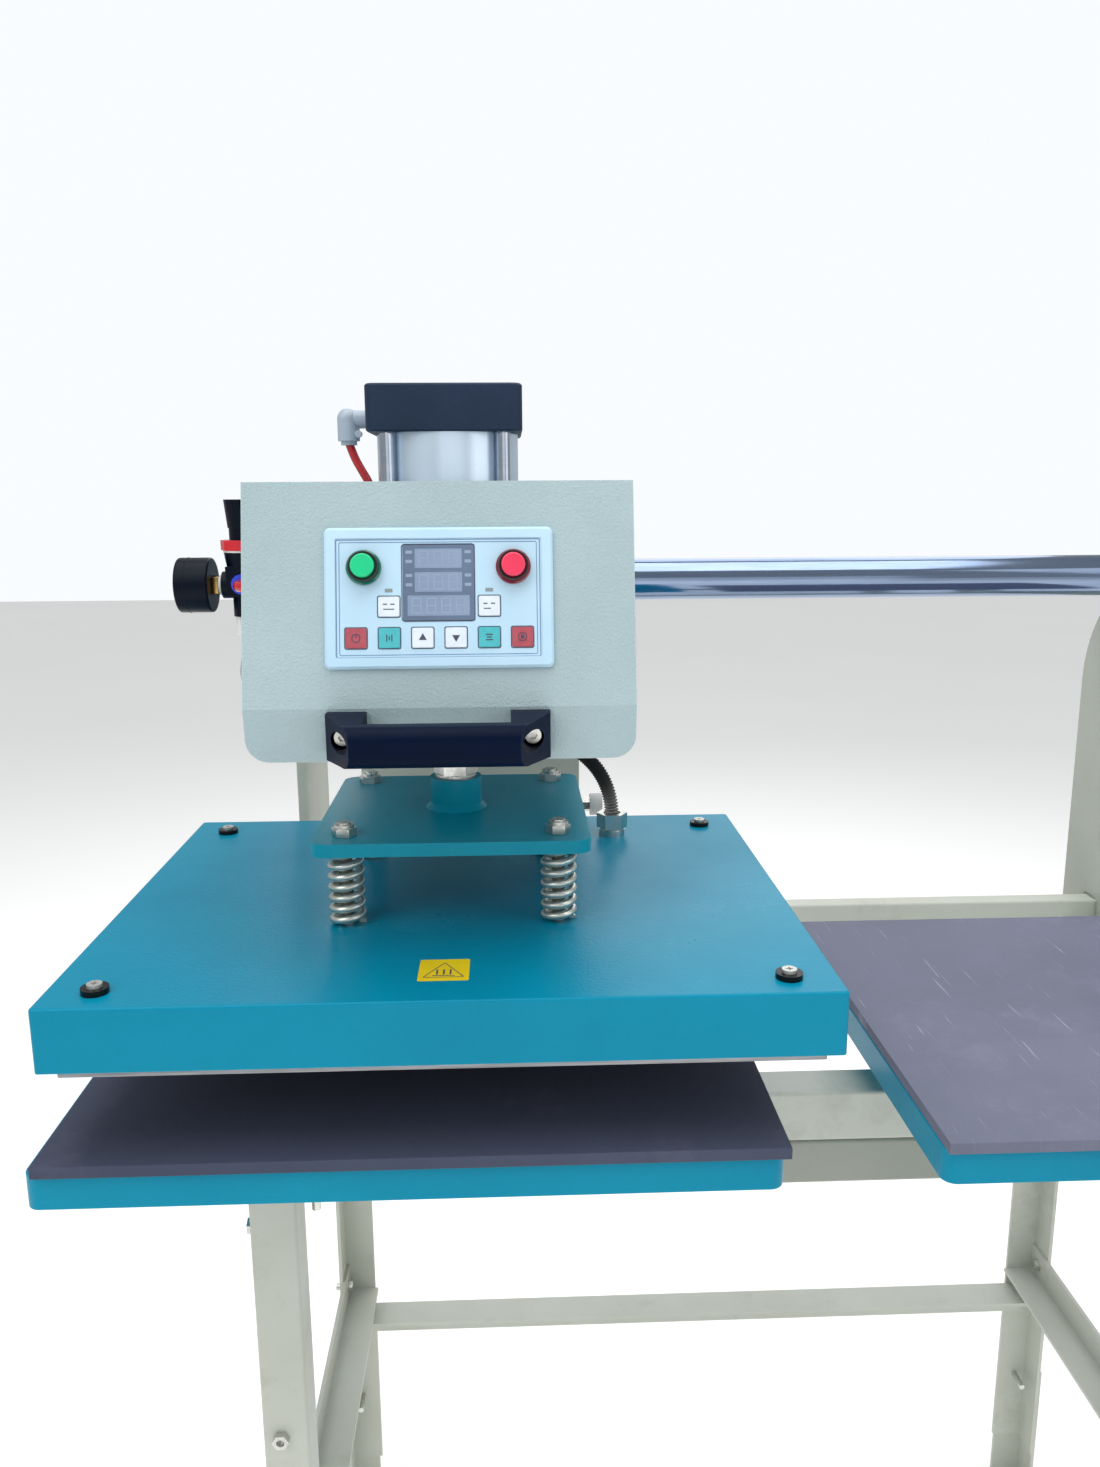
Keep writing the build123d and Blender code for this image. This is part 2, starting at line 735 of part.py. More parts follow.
def box_block(inset):
    """Solid of the box's outer form, or of its inside when inset is the wall."""
    half = box_half_x - inset
    profile = Plane.YZ * make_face(Polyline(*box_side_outline(inset), close=True))
    solid = Pos(head_x - half, 0, 0) * extrude(profile, 2 * half)
    lower = solid.edges().filter_by(Axis.Y).group_by(Axis.Z)[0]
    solid = fillet(lower, box_corner - inset)
    return solid


def head_box():
    """Folded shell over the cylinder and the electrics, open at the rear."""
    shell = box_block(0) - box_block(box_wall)
    hole = cap_size + 4
    shell -= block(head_x - hole / 2, head_x + hole / 2, press_y - hole / 2, press_y + hole / 2,
                   box_top - 4, box_top + 1)
    shell -= upright(head_x + air_entry[0], air_entry[1], box_top - 4, box_top + 1, 6)
    shell -= block(head_x - 30, head_x + 30, press_y - 30, press_y + 30, box_bottom - 1, box_bottom + 4)
    entry = (head_x + conduit_entry[0], conduit_entry[1])
    shell -= upright(*entry, box_bottom - 1, box_bottom + 4, conduit_r + clear)
    for side in (-1, 1):
        hole = extrude(Circle(button_cap_r + 1.5), 8)
        shell -= on_face(side * button_x, button_s, -6) * hole
    return shell


def rear_cover():
    """Cover across the back of the box, slotted for the two arm plates, with a cable gland."""
    half = box_half_x - box_wall - clear
    outside = box_rear - 1
    cover = block(head_x - half, head_x + half, box_rear - 3, outside,
                  box_bottom + box_corner + 2, box_top - box_wall - clear)
    for x in (-arm_x - arm_thick, arm_x):
        cover -= block(head_x + x - 0.5, head_x + x + arm_thick + 0.5, box_rear - 4, box_rear,
                       arm_z[0] - 0.5, arm_z[1] + 0.5)
    gland = Pos(head_x, outside, cable_gland_z) * Rot(-90, 0, 0) * hexagon(22, 7)
    gland += lying_y(head_x, outside + 7, outside + 14, cable_gland_z, 9)
    gland += lying_y(head_x, box_rear - 10, outside, cable_gland_z, 7)
    gland -= lying_y(head_x, box_rear - 12, outside + 16, cable_gland_z, 4)
    return group(cover - lying_y(head_x, box_rear - 4, box_rear, cable_gland_z, 7), gland)


def control_gear():
    """Solenoid valve, solid-state relay and terminal block inside the box."""
    wall = head_x + box_half_x - box_wall
    floor = box_bottom + box_wall
    valve = block(wall - 22, wall, -130, -60, 1206, 1224)
    coil = block(wall - 21, wall, -160, -131, 1205, 1224)
    relay = block(head_x - 60, head_x - 15, -120, -60, floor, floor + 24)
    terminals = block(head_x - 60, head_x - 15, -50, -30, floor, floor + 20)
    return group(valve, coil, relay, terminals)


# ---------------------------------------------------------------- control panel

def face_plane():
    """Plane on the leaning front face: x across, y up the face, z outwards, origin on its top edge."""
    rise = box_top - fold_z
    lean = box_top_y - fold_y
    length = math.hypot(rise, lean)
    normal = (0, -rise / length, lean / length)
    return Plane(origin=(head_x, box_top_y, box_top), x_dir=(1, 0, 0), z_dir=normal)


def on_face(x, s, w=0.0):
    """Place at x across, s down the face and w proud of it."""
    return face_plane() * Pos(x, -s, w)


def panel_bezel():
    s_mid = sum(panel_s) / 2
    height = panel_s[1] - panel_s[0]
    frame = extrude(RectangleRounded(panel_width, height, 4), panel_thick)
    frame = chamfer(frame.edges().group_by(Axis.Z)[-1], 1.6)
    recess = extrude(RectangleRounded(panel_width - 14, height - 14, 1.5), 2)
    bezel = on_face(0, s_mid) * (frame - Pos(0, 0, overlay_w) * recess)
    window = extrude(Rectangle(2 * display_half_x, display_s[1] - display_s[0]), panel_thick)
    bezel -= on_face(0, sum(display_s) / 2, 1) * window
    for side in (-1, 1):
        bezel -= on_face(side * button_x, button_s, -1) * extrude(Circle(button_cap_r + 1.5), panel_thick + 2)
    well = extrude(Rectangle(key_size[0] + 2 * clear, key_size[1] + 2 * clear), 2)
    for x, s in key_places().values():
        bezel -= on_face(x, s, overlay_w - key_travel - 0.3) * well
    return bezel


def display_window():
    height = display_s[1] - display_s[0]
    glass = extrude(Rectangle(2 * display_half_x - 0.4, height - 0.4), 2.4)
    return on_face(0, sum(display_s) / 2, 1) * glass


def key_places():
    """The membrane keys: a row of six, and one above each end of it."""
    places = {f"key_{column + 1}": (key_pitch * (column - 2.5), key_s) for column in range(6)}
    places["key_mode_left"] = (-mode_key_x, mode_key_s)
    places["key_mode_right"] = (mode_key_x, mode_key_s)
    return places


def key(x, s):
    """Domed key that sits in its own well in the bezel and stands a little proud."""
    cap = extrude(RectangleRounded(*key_size, 1.2), key_height)
    return on_face(x, s, overlay_w) * chamfer(cap.edges().group_by(Axis.Z)[-1], 0.25)


def button_barrels():
    """Bezel ring and threaded barrel of each push button."""
    rings = []
    for side in (-1, 1):
        ring = extrude(Circle(button_ring_r), 4)
        ring = chamfer(ring.edges().group_by(Axis.Z)[-1], 1)
        ring += extrude(Circle(button_cap_r + 1.6), button_sleeve)
        tail = Pos(0, 0, -6) * extrude(Circle(button_cap_r + 1.3), 7)
        ring = ring + tail - Pos(0, 0, -4) * extrude(Circle(button_cap_r + clear), button_sleeve + 6)
        rings.append(on_face(side * button_x, button_s, overlay_w) * ring)
    return group(*rings)


def push_button(side):
    """Cap that stands proud of its ring."""
    cap = extrude(Circle(button_cap_r), button_length)
    cap = fillet(cap.edges().group_by(Axis.Z)[-1], 1)
    return on_face(side * button_x, button_s, overlay_w + button_travel - 4 + clear) * cap


# ---------------------------------------------------------------- handle

def handle():
    """Bridge handle: one bar cut slantwise at both ends, on two feet that take the screws."""
    middle = head_x + handle_shift
    nose = grip_y - grip_r
    half = [(handle_half_x, box_bottom_y), (handle_half_x, box_bottom_y - 12), (handle_nose_x, nose)]
    outline = [(middle + x, y) for x, y in half] + [(middle - x, y) for x, y in reversed(half)]
    plan = Pos(0, 0, handle_z[0] - 5) * extrude(make_face(Polyline(*outline, close=True)), 50, dir=(0, 0, 1))
    section = Plane.YZ * Pos(grip_y, grip_z) * RectangleRounded(2 * grip_r, 2 * grip_r, grip_corner)
    bar = Pos(middle - handle_half_x, 0, 0) * extrude(section, 2 * handle_half_x)
    low, high = handle_z
    side_view = [(box_bottom_y, low), (box_bottom_y - 12, low), (grip_y, grip_z - grip_r),
                 (grip_y, grip_z + grip_r), (box_bottom_y - 12, high), (box_bottom_y, high)]
    foot_profile = Plane.YZ * make_face(Polyline(*side_view, close=True))
    for side in (-1, 1):
        start = middle + (handle_inner_x if side > 0 else -handle_half_x)
        bar += Pos(start, 0, 0) * extrude(foot_profile, handle_half_x - handle_inner_x)
    bar = bar & plan
    for side in (-1, 1):
        bar -= lying_y(middle + side * handle_screw_x, nose - 1, handle_seat_y, handle_screw_z, 6.8)
    return bar - box_block(0)


def handle_screws():
    """Socket-head screws, sunk in the feet."""
    screws = []
    for side in (-1, 1):
        x = head_x + handle_shift + side * handle_screw_x
        head = lying_y(x, handle_seat_y - 6, handle_seat_y, handle_screw_z, 5.2)
        socket = Pos(x, handle_seat_y - 6, handle_screw_z) * Rot(-90, 0, 0) * hexagon(5, 3.2)
        screws.append(head - socket)
    return group(*screws)


# ---------------------------------------------------------------- regulator and air lines

def regulator_body():
    """Regulator body with its ports, hung from the box wall on a bracket."""
    x, y = regulator_x, regulator_y
    body = Pos(x, y, 1306) * Cone(14.6, 17.1, 16)
    body += block(x - 14, x + 14, y - 14, y + 14, 1282, 1304)
    body += lying_x(x - 19, x + 15, y, gauge_z, 10)
    body += lying_y(x, y - 20, y + 20, gauge_z + 2, 10)
    body += upright(x, y, regulator_bottom, 1283, 12.3)
    body += upright(x, y, 1313, ring_z, 12)
    body += upright(x, y, 1312, ring_z + ring_height - clear, 8)
    wall = head_x - box_half_x
    body += block(x + 8, wall, y - 12, y + 12, 1296, 1300)
    body += block(wall - 2, wall, y - 14, y + 14, 1276, 1306)
    return body


def lock_ring():
    """Octagonal ring nut under the knob."""
    ring = Pos(regulator_x, regulator_y, ring_z) * extrude(RegularPolygon(19.5, 8), ring_height)
    return ring - upright(regulator_x, regulator_y, ring_z - 1, ring_z + ring_height + 1, 8)


def regulator_knob():
    """Ribbed knob on the adjusting screw."""
    z = ring_z + ring_height + clear
    knob = Pos(regulator_x, regulator_y, z + 4.25) * Cylinder(12.5, 8.5)
    knob += Pos(regulator_x, regulator_y, z + 8.5 + 10.3) * Cone(13.2, 15.2, 20.6)
    for step in range(16):
        angle = 360 / 16 * step
        rib = Rot(0, 0, angle) * Pos(15, 0, z + 18.8) * Cylinder(0.9, 19)
        knob -= Pos(regulator_x, regulator_y, 0) * rib
    return knob


def pressure_gauge():
    """Dial gauge that faces left, with its hexagon nipple."""
    back = gauge_back
    front = back - gauge_length
    case = lying_x(front, back, regulator_y, gauge_z, gauge_r)
    case = fillet(case.edges().filter_by(GeomType.CIRCLE), 1.5)
    case -= lying_x(front - 1, front + 4, regulator_y, gauge_z, gauge_r - 2.5)
    nipple = Pos(regulator_x - 19, regulator_y, gauge_z) * Rot(0, -90, 0) * hexagon(12, 8)
    return case + nipple


def gauge_needle():
    x = gauge_back - gauge_length + 2.2
    hub = lying_x(x - 0.6, x + 0.6, regulator_y, gauge_z, 2.2)
    pointer = block(x - 0.4, x + 0.4, regulator_y - 0.7, regulator_y + 0.7, gauge_z - 13, gauge_z + 4)
    return hub + pointer


def air_fittings():
    """Cylinder elbow, regulator outlet collar and the fitting under the regulator."""
    cap_z = cylinder_z + cap_height + barrel_length
    cap_side = head_x - cap_size / 2
    elbow_x = cap_side - elbow_reach
    elbow = lying_x(elbow_x, cap_side, press_y, cap_z + 12, 6.8)
    elbow += upright(elbow_x, press_y, cap_z - 4, cap_z + 12, 8.2)
    elbow += Pos(elbow_x, press_y, cap_z + 12) * Sphere(8.2)
    elbow += upright(elbow_x, press_y, cap_z - 7, cap_z - 3, 6)
    elbow += lying_y(elbow_x + 8, press_y - 8, press_y - 2, cap_z + 1, 2.6)
    elbow += block(elbow_x + 4, elbow_x + 8, press_y - 4, press_y, cap_z, cap_z + 6)
    collar = lying_y(regulator_x, regulator_y - 27, regulator_y - 20, gauge_z + 2, 7.2)
    lower = Pos(hose_x, regulator_y, hose_top) * hexagon(15, regulator_bottom - hose_top)
    return group(elbow, collar, lower)


def air_tubes():
    """Red tubes: valve to the cylinder's top port, and regulator to the box."""
    elbow_x = head_x - cap_size / 2 - elbow_reach
    port_z = cylinder_z + cap_height + barrel_length - 7
    route = [(elbow_x, press_y, port_z), (elbow_x, press_y, port_z - 6),
             (head_x + air_entry[0], air_entry[1], box_top + 4), (head_x + air_entry[0], air_entry[1], box_top - 10)]
    radii = corner_radii(route)
    cylinder_tube = tube_along(route, 3.2, radii)
    x, y, z = regulator_x, regulator_y - 27, gauge_z + 2
    wall = head_x - box_half_x
    outlet = [(x, y, z), (x, y - 16, z), (x + 9, y - 27, z), (wall, y - 27, z)]
    outlet_radii = corner_radii(outlet)
    print("air tube radii", [round(r, 1) for r in radii + outlet_radii])
    return group(cylinder_tube, tube_along(outlet, 3.9, outlet_radii))


def clear_hose():
    """Clear hose from under the regulator back to the box wall."""
    x, y = hose_x, regulator_y
    wall = head_x - box_half_x
    route = [(x, y, hose_top), (x, y, 1240), (x, y - 22, 1214), (wall - 2, y - 28, 1205)]
    radii = corner_radii(route)
    print("hose radii", [round(r, 1) for r in radii])
    return tube_along(route, 4.6, radii)


nodes = {
    "upper_legs": upper_legs(),
    "lower_legs": lower_legs(),
    "leg_braces": leg_braces(),
    "stand_rails": stand_rails(),
    "base_frame": base_frame(),
    "side_plates": side_plates(),
    "guide_bar": guide_bar(),
    "bar_end_caps": bar_end_caps(),
    "table_supports": table_supports(),
    "trays": trays(),
    "pad_left": pad("left"),
    "pad_right": pad("right"),
    "frame_bolts": frame_bolts(),
    "carriage_plate": carriage_plate(),
    "bearing_housings": bearing_housings(),
    "head_arms": head_arms(),
    "roller_bracket": roller_bracket(),
    "guide_roller_front": guide_roller("front"),
    "guide_roller_rear": guide_roller("rear"),
    "stop_buffers": stop_buffers(),
    "cylinder_caps": cylinder_caps(),
    "cylinder_barrel": cylinder_barrel(),
    "tie_rods": tie_rods(),
    "piston_rod": piston_rod(),
    "rod_nut": rod_nut(),
    "spring_plate": spring_plate(),
    "platen_cover": platen_cover(),
    "heater_plate": heater_plate(),
    "insulation_blanket": insulation_blanket(),
    "spring_studs": spring_studs(),
    "springs": springs(),
    "cover_screws": cover_screws(),
    "conduit_gland": conduit_gland(),
    "conduit": conduit(),
    "head_box": head_box(),
    "rear_cover": rear_cover(),
    "control_gear": control_gear(),
    "panel_bezel": panel_bezel(),
    "display_window": display_window(),
    "button_barrels": button_barrels(),
    "start_button": push_button(-1),
    "stop_button": push_button(1),
    "handle": handle(),
    "handle_screws": handle_screws(),
    "regulator_body": regulator_body(),
    "lock_ring": lock_ring(),
    "regulator_knob": regulator_knob(),
    "pressure_gauge": pressure_gauge(),
    "gauge_needle": gauge_needle(),
    "air_fittings": air_fittings(),
    "air_tubes": air_tubes(),
    "clear_hose": clear_hose(),
}
for key_name, place in key_places().items():
    nodes[key_name] = key(*place)

print("press travel", press_travel, "squeeze", squeeze, "nodes", len(nodes))
for name, shape in nodes.items():
    export_step(shape, f"parts/{name}.step")
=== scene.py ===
import math

import bpy
from mathutils import Matrix, Vector


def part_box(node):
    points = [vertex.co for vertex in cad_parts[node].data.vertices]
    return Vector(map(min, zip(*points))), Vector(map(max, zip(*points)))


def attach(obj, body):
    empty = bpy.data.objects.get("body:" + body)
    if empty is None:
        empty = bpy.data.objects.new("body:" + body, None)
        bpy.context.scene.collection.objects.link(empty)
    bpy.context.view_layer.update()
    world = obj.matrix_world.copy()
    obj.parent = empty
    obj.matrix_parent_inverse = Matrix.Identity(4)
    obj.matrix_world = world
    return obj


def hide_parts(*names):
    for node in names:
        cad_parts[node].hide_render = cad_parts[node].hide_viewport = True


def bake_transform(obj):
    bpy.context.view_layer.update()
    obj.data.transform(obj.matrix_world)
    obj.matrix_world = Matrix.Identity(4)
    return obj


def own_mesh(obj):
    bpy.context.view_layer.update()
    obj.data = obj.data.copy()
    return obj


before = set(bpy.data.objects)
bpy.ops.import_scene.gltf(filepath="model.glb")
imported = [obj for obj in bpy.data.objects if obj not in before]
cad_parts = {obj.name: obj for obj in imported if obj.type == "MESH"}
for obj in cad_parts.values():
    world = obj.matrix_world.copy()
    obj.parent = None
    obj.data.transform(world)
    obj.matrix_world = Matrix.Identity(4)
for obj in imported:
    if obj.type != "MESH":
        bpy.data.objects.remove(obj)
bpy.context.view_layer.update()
print("frame loaded:", len(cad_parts), "nodes")


# ---- finishes

def linear(hexColour):
    # screen colour to linear light
    parts = [int(hexColour[i:i + 2], 16) / 255 for i in (0, 2, 4)]
    return tuple(p / 12.92 if p < 0.04045 else ((p + 0.055) / 1.055) ** 2.4 for p in parts) + (1.0,)


def addNode(tree, kind, values=None, **settings):
    node = tree.nodes.new("ShaderNode" + kind)
    for name, value in settings.items():
        setattr(node, name, value)
    for socket, value in (values or {}).items():
        node.inputs[socket].default_value = value
    return node


def mixColours(tree, factor, first, second):
    # first and second are either a colour or a socket
    mix = addNode(tree, "Mix", data_type="RGBA")
    tree.links.new(factor, mix.inputs[0])
    for slot, value in ((6, first), (7, second)):
        if isinstance(value, tuple):
            mix.inputs[slot].default_value = value
        else:
            tree.links.new(value, mix.inputs[slot])
    return mix.outputs[2]


def rangeOf(tree, source, fromMin, fromMax, toMin=0.0, toMax=1.0):
    node = addNode(tree, "MapRange", {"From Min": fromMin, "From Max": fromMax,
                                      "To Min": toMin, "To Max": toMax})
    tree.links.new(source, node.inputs["Value"])
    return node.outputs["Result"]


def wornEdges(tree, place, look):
    # the rounded normal leaves the true one near an edge, and a noise breaks the line up
    rounded = addNode(tree, "Bevel", {"Radius": look.get("wearRadius", 0.0012)}, samples=6)
    true = addNode(tree, "NewGeometry")
    dot = addNode(tree, "VectorMath", operation="DOT_PRODUCT")
    tree.links.new(rounded.outputs["Normal"], dot.inputs[0])
    tree.links.new(true.outputs["Normal"], dot.inputs[1])
    edge = rangeOf(tree, dot.outputs["Value"], 0.995, 0.86)
    broken = addNode(tree, "TexNoise", {"Scale": look.get("wearScale", 140.0), "Detail": 4.0})
    tree.links.new(place, broken.inputs["Vector"])
    gaps = rangeOf(tree, broken.outputs["Fac"], 0.42, 0.62, 0.15, look["wear"])
    worn = addNode(tree, "Math", operation="MULTIPLY")
    tree.links.new(edge, worn.inputs[0])
    tree.links.new(gaps, worn.inputs[1])
    return worn.outputs[0]


def makeFinish(name, look):
    finish = bpy.data.materials.new(name)
    finish.use_nodes = True
    tree = finish.node_tree
    shader = tree.nodes["Principled BSDF"]
    place = addNode(tree, "TexCoord").outputs["Object"]
    turned = addNode(tree, "Mapping", {"Scale": look.get("stretch", (1, 1, 1))})
    tree.links.new(place, turned.inputs["Vector"])
    patches = addNode(tree, "TexNoise", {"Scale": look.get("patch", 9.0), "Detail": 5.0, "Roughness": 0.62})
    tree.links.new(turned.outputs[0], patches.inputs["Vector"])
    patchy = rangeOf(tree, patches.outputs["Fac"], 0.36, 0.66)
    colour = mixColours(tree, patchy, linear(look["colour"]), linear(look["shade"]))
    if "dirt" in look:  # dust and rub marks in small spots
        spots = addNode(tree, "TexNoise", {"Scale": look["dirtScale"], "Detail": 8.0, "Roughness": 0.7})
        tree.links.new(place, spots.inputs["Vector"])
        spotty = rangeOf(tree, spots.outputs["Fac"], 0.57, 0.75, 0.0, look["dirtShare"])
        colour = mixColours(tree, spotty, colour, linear(look["dirt"]))
    if "scratch" in look:  # fine light lines, mostly along y
        drawn = addNode(tree, "Mapping", {"Scale": (340.0, 11.0, 1.0), "Rotation": (0.0, 0.0, 0.14)})
        tree.links.new(place, drawn.inputs["Vector"])
        lines = addNode(tree, "TexNoise", {"Scale": 1.0, "Detail": 3.0, "Roughness": 0.6})
        tree.links.new(drawn.outputs[0], lines.inputs["Vector"])
        scratched = rangeOf(tree, lines.outputs["Fac"], 0.66, 0.74, 0.0, 0.7)
        colour = mixColours(tree, scratched, colour, linear(look["scratch"]))
    if "zones" in look:  # other colours past a limit along an axis
        parts = addNode(tree, "SeparateXYZ")
        tree.links.new(place, parts.inputs[0])
        for axis, limit, zoneColour in look["zones"]:
            past = addNode(tree, "Math", {1: limit}, operation="GREATER_THAN")
            tree.links.new(parts.outputs[axis], past.inputs[0])
            colour = mixColours(tree, past.outputs[0], colour, linear(zoneColour))
    if "wear" in look:
        colour = mixColours(tree, wornEdges(tree, place, look), colour, linear(look["bare"]))
    tree.links.new(colour, shader.inputs["Base Color"])
    rough = look["rough"]
    spread = look.get("spread", 0.08)
    tree.links.new(rangeOf(tree, patches.outputs["Fac"], 0.3, 0.7, rough - spread, rough + spread),
                   shader.inputs["Roughness"])
    grain = addNode(tree, "TexNoise", {"Scale": look["grain"], "Detail": look.get("grainDetail", 2.0)})
    tree.links.new(turned.outputs[0], grain.inputs["Vector"])
    bump = addNode(tree, "Bump", {"Strength": look.get("bump", 0.3), "Distance": look["depth"]})
    tree.links.new(grain.outputs["Fac"], bump.inputs["Height"])
    tree.links.new(bump.outputs["Normal"], shader.inputs["Normal"])
    for socket, value in look.get("sockets", {}).items():
        shader.inputs[socket].default_value = value
    return finish


